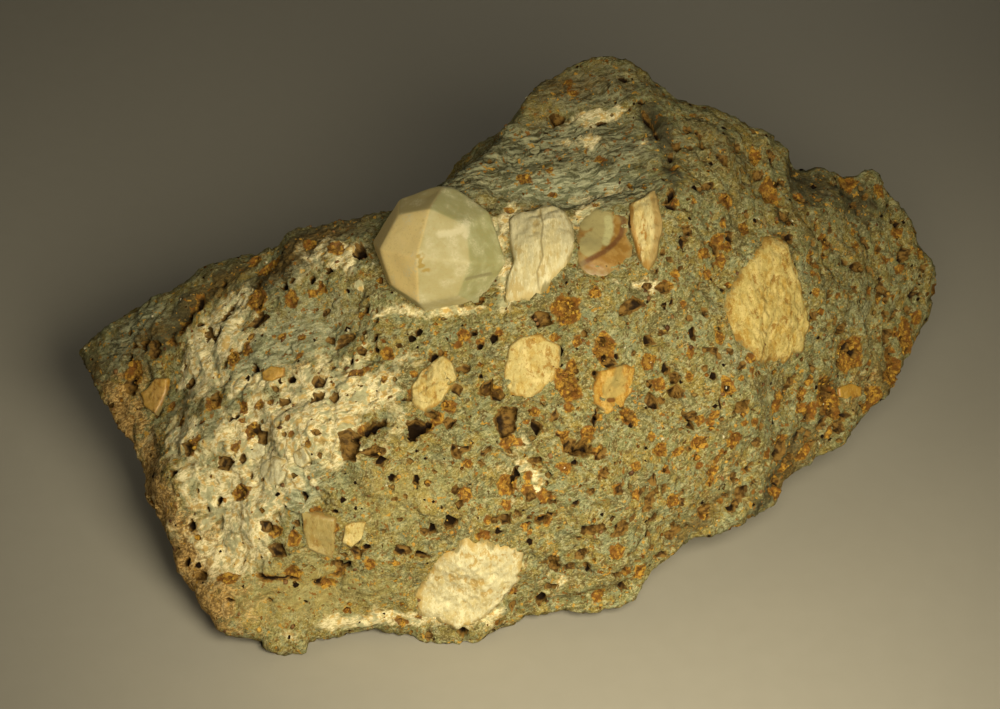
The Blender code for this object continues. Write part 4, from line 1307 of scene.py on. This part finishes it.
def mineral_finish(name, pale, strong, seams, rough, grain_mm, fibre=0.0, sheen=0.0):
    """Pale colour with stronger clouds and streaks, seams of stain in its folds and at its ragged rim, and a
    fine grain that may run in fibres up the crystal."""
    stone = Finish(name)
    place = stone.place((1, 1 + 3 * fibre, 1 + 3 * fibre))
    cloud, tint, vein = stone.noises(place, grain_mm * 2.2, 5, 0.7)
    fine = stone.noise(place, grain_mm * 0.36, 4, 0.75, 0.3)
    bright = tuple(min(1.2 * c + 0.04, 0.9) for c in pale)
    near_vein = stone.maths("ADD", stone.maths("MULTIPLY", stone.mark("fold"), -0.05), vein)
    colour = stone.coats(
        pale,
        (strong, cloud, 0.46, 0.60, 0.85),
        (bright, tint, 0.50, 0.60, 0.85),
        (seams, near_vein, 0.575, 0.64, 0.85),
        (seams, fine, 0.45, 0.36, 0.65),
        (tuple(0.35 * c for c in seams), fine, 0.37, 0.29, 0.45),
        (bright, fine, 0.54, 0.64, 0.8),
        (seams, stone.maths("ADD", stone.mark("out"), stone.about(cloud, 0.45)), 0.88, 1.0, 0.75),
        ((0.20, 0.17, 0.065), stone.maths("ADD", stone.mark("out"), stone.about(tint, 0.7)), 0.96, 1.04, 0.8),
    )
    relief = stone.bump(cloud, 0.25 * rough, 0.8)
    relief = stone.bump(fine, 0.05 + 0.12 * rough, 1.0, relief)
    stone.shader.inputs["Specular IOR Level"].default_value = 0.5 if sheen else 0.15
    stone.soften(sheen)
    roughness = stone.ramp(cloud, 0.3, 0.7, rough - 0.08, rough + 0.08)
    return stone, colour, roughness, relief


def mineral(*choices, coats=(), **more):
    """A mineral's finish, with more coats over it: each a colour, a mark's name, its range and its most."""
    stone, colour, roughness, relief = mineral_finish(*choices, **more)
    marked = [(paint, stone.mark(mark), low, high, most) for paint, mark, low, high, most in coats]
    return stone.finish(stone.coats(colour, *marked), roughness, relief)


def banded_finish():
    """Orange-tan outside the red-brown band and grey-cream inside it, round a pale green core."""
    zone = Finish("crystal_banded_waxy")
    place = zone.place()
    cloud = zone.noise(place, 1.2, 4, 0.6)
    fine = zone.noise(place, 0.35, 3, 0.7)
    wavy = zone.maths("ADD", zone.mark("inside"), zone.about(cloud, 0.5))
    colour = zone.coats(
        (0.26, 0.135, 0.025),
        ((0.34, 0.20, 0.05), cloud, 0.40, 0.60, 1),
        ((0.36, 0.305, 0.125), wavy, 0.35, 0.6, 1),
        ((0.46, 0.43, 0.20), zone.mark("core"), 0.25, 0.75, 0.9),
        ((0.12, 0.045, 0.016), zone.mark("band"), 0.15, 0.85, 0.8),
        ((0.22, 0.155, 0.06), fine, 0.55, 0.68, 0.4),
        ((0.23, 0.195, 0.075), zone.maths("ADD", zone.mark("out"), zone.about(cloud, 0.6)), 0.80, 1.0, 0.5),
    )
    return zone.finish(colour, zone.ramp(cloud, 0.3, 0.7, 0.36, 0.5), zone.bump(fine, 0.03, 0.5))


chalky = mineral(
    "crystal_chalky_cream", (0.48, 0.385, 0.145), (0.44, 0.30, 0.075), (0.31, 0.17, 0.03), 0.8, 0.8, 0.25
)
striated = mineral(
    "crystal_striated", (0.47, 0.365, 0.115), (0.43, 0.275, 0.055), (0.27, 0.14, 0.022), 0.9, 0.7, 0.15
)
foot_white = mineral(
    "crystal_chalky_white", (0.53, 0.475, 0.27), (0.50, 0.40, 0.17), (0.42, 0.28, 0.08), 0.8, 0.8, 0.2
)
for number, (node, (proud, outline)) in enumerate(CHALKY.items()):
    fibre = 0.3 if node == "crystal_large_right" else 0.35
    finish = {"crystal_large_right": striated, "crystal_foot": foot_white}.get(node, chalky)
    name = node.replace("crystal", "chalky")
    piece = broken_crystal(name, seen_rim(outline), proud, 200 + 10 * number, 0.11, fibre, 0.022)
    place_crystal(piece, node, finish)

white = mineral(
    "crystal_white_cleaved", (0.56, 0.50, 0.285), (0.56, 0.47, 0.23), (0.48, 0.36, 0.14), 0.6, 0.9, 0.8,
    coats=[((0.27, 0.215, 0.09), "crease", 0.35, 0.9, 0.7)],
)
lines = {"crease": (WHITE_CREASE, 1.4)}
piece = broken_crystal("white_block", seen_rim(WHITE_OUTLINE), 0.8, 300, 0.07, 0.8, 0.006, lines=lines)
place_crystal(piece, "crystal_white", white)

lines = {"band": (RED_BAND, 3.0), "core": (PALE_CORE, 4.5), "inside": (BAND_INSIDE, 12)}
piece = broken_crystal(
    "banded_crystal", seen_rim(BANDED_OUTLINE), 0.6, 305, 0.02, 0.2, dome=2, rounding=40, lines=lines
)
place_crystal(piece, "crystal_banded", banded_finish())

striped = mineral(
    "crystal_striped_cream", (0.54, 0.45, 0.20), (0.54, 0.40, 0.14), (0.36, 0.17, 0.02), 0.6, 0.8, 0.9,
    coats=[
        ((0.33, 0.22, 0.07), "shade", 0.15, 0.8, 0.85),
        ((0.52, 0.24, 0.03), "rust", 0.4, 0.9, 0.6),
        ((0.05, 0.02, 0.004), "pinholes", 0.4, 0.7, 0.95),
    ],
)
lines = {"rust": (STRIPED_RUST, 3.2), "pinholes": (STRIPED_PINHOLES, 1.6), "shade": (STRIPED_SHADE, 7)}
piece = broken_crystal("striped_crystal", seen_rim(STRIPED_OUTLINE), 1.1, 310, 0.12, 0.9, 0.02, lines=lines)
place_crystal(piece, "crystal_striped", striped)

stone, colour, roughness, relief = mineral_finish(
    "crystal_ringed_ochre", (0.42, 0.26, 0.05), (0.37, 0.185, 0.022), (0.30, 0.135, 0.018), 0.8, 0.6, 0.2
)
cloud = stone.maths("MULTIPLY", stone.noise(stone.place(), 1.1), 0.5)
colour = stone.coats(
    colour,
    ((0.40, 0.305, 0.095), stone.maths("ADD", stone.mark("out"), cloud), 0.92, 0.72, 0.75),
    ((0.27, 0.215, 0.07), stone.mark("core"), 0.2, 0.9, 0.7),
    ((0.14, 0.05, 0.008), stone.mark("spot"), 0.3, 0.8, 0.9),
)
lines = {"core": (RING_CORE, 5.0), "spot": (RING_SPOT, 3.0)}
piece = broken_crystal("ringed_crystal", seen_rim(RINGED_OUTLINE), 0.35, 320, 0.10, 0.2, 0.015, lines=lines)
place_crystal(piece, "crystal_ringed", stone.finish(colour, roughness, relief))

honey = mineral(
    "crystal_honey_amber", (0.40, 0.232, 0.033), (0.33, 0.165, 0.019), (0.23, 0.10, 0.01),
    0.35, 1.4, 0.2, 0.15,
)
tan = mineral(
    "crystal_tan_glassy", (0.34, 0.26, 0.085), (0.33, 0.21, 0.045), (0.25, 0.14, 0.03), 0.4, 1.4, 0.3, 0.15
)
for number, (node, (proud, outline)) in enumerate(HONEY.items()):
    name = node.replace("crystal", "honey")
    piece = broken_crystal(name, seen_rim(outline), proud, 330 + 10 * number, 0.03, 0.2)
    place_crystal(piece, node, tan if node == "crystal_glassy" else honey)

pale = mineral(
    "crystal_pale_white", (0.58, 0.53, 0.31), (0.56, 0.46, 0.22), (0.44, 0.32, 0.11), 0.7, 0.8, 0.1
)
for number, (node, (proud, outline)) in enumerate(PALE.items()):
    name = node.replace("crystal", "chalk")
    piece = broken_crystal(name, seen_rim(outline), proud, 380 + 10 * number, 0.05, 0.2, 0.02)
    place_crystal(piece, node, pale)

for number, (node, (way, radius, proud)) in enumerate(BACK_CRYSTALS.items()):
    name = node.replace("crystal", "chalky")
    piece = broken_crystal(name, back_rim(way, radius), proud, 420 + 10 * number, 0.10, 0.4, 0.02)
    place_crystal(piece, node, chalky)

# ---- Crusts and loose grains -----------------------------------------------------------------------------
# Earthy orange grains of iron oxide clustered on the crusts, and crumbs of orange, white and brown minerals
# scattered over the rock and half sunk in it. Each is a small lump of twenty faces.
GOLDEN = 1.618
SIGNS = [(a, b * GOLDEN) for a in (-1, 1) for b in (-1, 1)]
GRAIN_WAYS = [(0, a, b) for a, b in SIGNS] + [(a, b, 0) for a, b in SIGNS] + [(b, 0, a) for a, b in SIGNS]
GRAIN_WAYS = unit(GRAIN_WAYS)


def grain_faces():
    """The twenty triangles of the grain, from the convex hull of its corners."""
    hull = bmesh.new()
    for number, way in enumerate(GRAIN_WAYS):
        hull.verts.new(way).index = number
    bmesh.ops.convex_hull(hull, input=hull.verts)
    bmesh.ops.recalc_face_normals(hull, faces=hull.faces)
    faces = np.array([[v.index for v in face.verts] for face in hull.faces])
    hull.free()
    return faces


def of_rock(value):
    """A value of the finished rock's vertices, three numbers each."""
    found = np.empty(len(rock.data.vertices) * 3, np.float32)
    rock.data.vertices.foreach_get(value, found)
    return found.reshape(-1, 3)


rock_points = of_rock("co") / MM
rock_normals = of_rock("normal")
rock_order = Surroundings(rock_points)


def grains(name, spots, normals, sizes, seed, flatness=0.7):
    """Lumps with jittered corners, lying on the rock and half sunk in it, as one piece with a random tint."""
    draw = np.random.default_rng(seed)
    count = len(spots)
    shapes = GRAIN_WAYS * draw.uniform(0.65, 1.2, (count, 12, 1))
    side = unit(np.cross(normals, draw.normal(size=(count, 3))))
    other = np.cross(normals, side)
    axes = np.stack([side, other * draw.uniform(0.6, 1, (count, 1)), normals * flatness], 1)
    points = spots[:, None] + np.einsum("nkc,ncd->nkd", shapes, axes) * sizes[:, None, None]
    faces = grain_faces() + 12 * np.arange(count)[:, None, None]
    tint = np.repeat(draw.random(count), 12)
    return mesh_piece(name, points.reshape(-1, 3), faces.reshape(-1, 3), {"tint": tint})


def scattered(count, seed):
    """Random vertices of the rock, away from its underside."""
    draw = np.random.default_rng(seed)
    high = np.flatnonzero(rock_points[:, 2] > 0.5)
    some = draw.choice(high, count, replace=False)
    return rock_points[some], rock_normals[some]


def on_crusts(density, seed):
    """Spots on every named crust, filling its outline."""
    draw = np.random.default_rng(seed)
    chosen = []
    for group in OCHRE_CRUSTS.values():
        for column, row, width, height, turn in group:
            spot = seen_spot(column, row)
            some, offset = rock_order.near(spot, 0.62 * max(width, height) * VIEW_STEP)
            side, other = frame_of(smooth_normal(spot, 2.0), turn)
            x, y = offset @ side * 2 / (width * VIEW_STEP), offset @ other * 2 / (height * VIEW_STEP)
            out = angular_bowl(x, y, column)
            inside = some[out < 1.0]
            wanted = int(density * width * height * VIEW_STEP**2)
            if len(inside):
                chosen.append(draw.choice(inside, min(wanted, len(inside)), replace=False))
    chosen = np.concatenate(chosen)
    return rock_points[chosen], rock_normals[chosen]


def grain_finish(name, dark, light, rough):
    """Between two colours by each grain's own tint, with a fine grain over it."""
    grit = Finish(name)
    grit.shader.inputs["Specular IOR Level"].default_value = 0.2
    place = grit.place()
    fine = grit.noise(place, 0.25, 3, 0.7)
    colour = grit.blend(dark, light, grit.mark("tint"))
    colour = grit.coats(colour, (tuple(0.5 * c for c in dark), fine, 0.46, 0.3, 0.7))
    roughness = grit.ramp(fine, 0.3, 0.7, rough - 0.1, rough + 0.1)
    return grit.finish(colour, roughness, grit.bump(fine, 0.05, 0.7))


def place_grains(piece, finish):
    piece.data.materials.append(finish)
    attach(piece, "root")


draw = np.random.default_rng(90)
spots, normals = on_crusts(2.0, 91)
sizes = 0.10 + 0.34 * draw.random(len(spots)) ** 2
place_grains(grains("ochre_grains", spots, normals, sizes, 92),
             grain_finish("grains_ochre", (0.11, 0.045, 0.006), (0.46, 0.27, 0.035), 0.8))
spots, normals = scattered(420, 93)
sizes = 0.08 + 0.42 * draw.random(420) ** 3
place_grains(grains("orange_crumbs", spots, normals, sizes, 94, 0.45),
             grain_finish("crumbs_orange", (0.24, 0.10, 0.012), (0.50, 0.31, 0.06), 0.8))
spots, normals = scattered(90, 95)
sizes = draw.uniform(0.08, 0.28, 90)
place_grains(grains("white_crumbs", spots, normals, sizes, 96),
             grain_finish("crumbs_white", (0.42, 0.37, 0.20), (0.62, 0.57, 0.38), 0.7))
spots, normals = scattered(420, 97)
sizes = 0.10 + 0.40 * draw.random(420) ** 2
place_grains(grains("brown_crumbs", spots, normals, sizes, 98, 0.45),
             grain_finish("crumbs_brown", (0.07, 0.03, 0.01), (0.25, 0.13, 0.04), 0.5))

# ---- The floor and the light -----------------------------------------------------------------------------
# A plain pale floor, and soft studio light: a warm key light in front, a wide dim fill high on the left, and
# a dim light from behind.
FLOOR_REACH = 900
floor_grid = np.array([(-1, -1), (1, -1), (1, 1), (-1, 1)]) * FLOOR_REACH
floor = mesh_piece("floor", np.column_stack([floor_grid, np.full(4, -0.05)]), np.array([[0, 1, 2, 3]]))
paint = Finish("floor_pale")
speck = paint.noise(paint.place(), 3, 2)
colour = paint.blend((0.29, 0.27, 0.216), (0.31, 0.288, 0.232), speck)
floor.data.materials.append(paint.finish(colour, paint.ramp(speck, 0, 1, 0.6, 0.7)))


LIT_SPOT = Vector((15, -37, 6))  # what every light is aimed at, on the lower front of the block


def soft_light(name, place_mm, width_mm, power, colour, spread=180):
    """A square area light aimed at LIT_SPOT, its beam narrowed to a spread in degrees."""
    lamp = bpy.data.lights.new(name, "AREA")
    lamp.size = width_mm * MM
    lamp.energy = power
    lamp.spread = math.radians(spread)
    lamp.color = colour
    light = bpy.data.objects.new(name, lamp)
    light.location = Vector(place_mm) * MM
    light.rotation_euler = (LIT_SPOT - Vector(place_mm)).to_track_quat("-Z", "Y").to_euler()
    bpy.context.scene.collection.objects.link(light)


soft_light("key_light", (45, -165, 138), 100, 0.139, (1.0, 0.91, 0.70), 72)
soft_light("fill_light", (-300, 20, 330), 320, 0.20, (1.0, 0.93, 0.76))
soft_light("back_light", (60, 380, 150), 160, 0.09, (1.0, 0.94, 0.78))
world = bpy.data.worlds.new("room")
world.use_nodes = True
world.node_tree.nodes["Background"].inputs["Color"].default_value = (1.0, 0.95, 0.85, 1)
world.node_tree.nodes["Background"].inputs["Strength"].default_value = 0.018
bpy.context.scene.world = world
bpy.context.scene.view_settings.view_transform = "Standard"
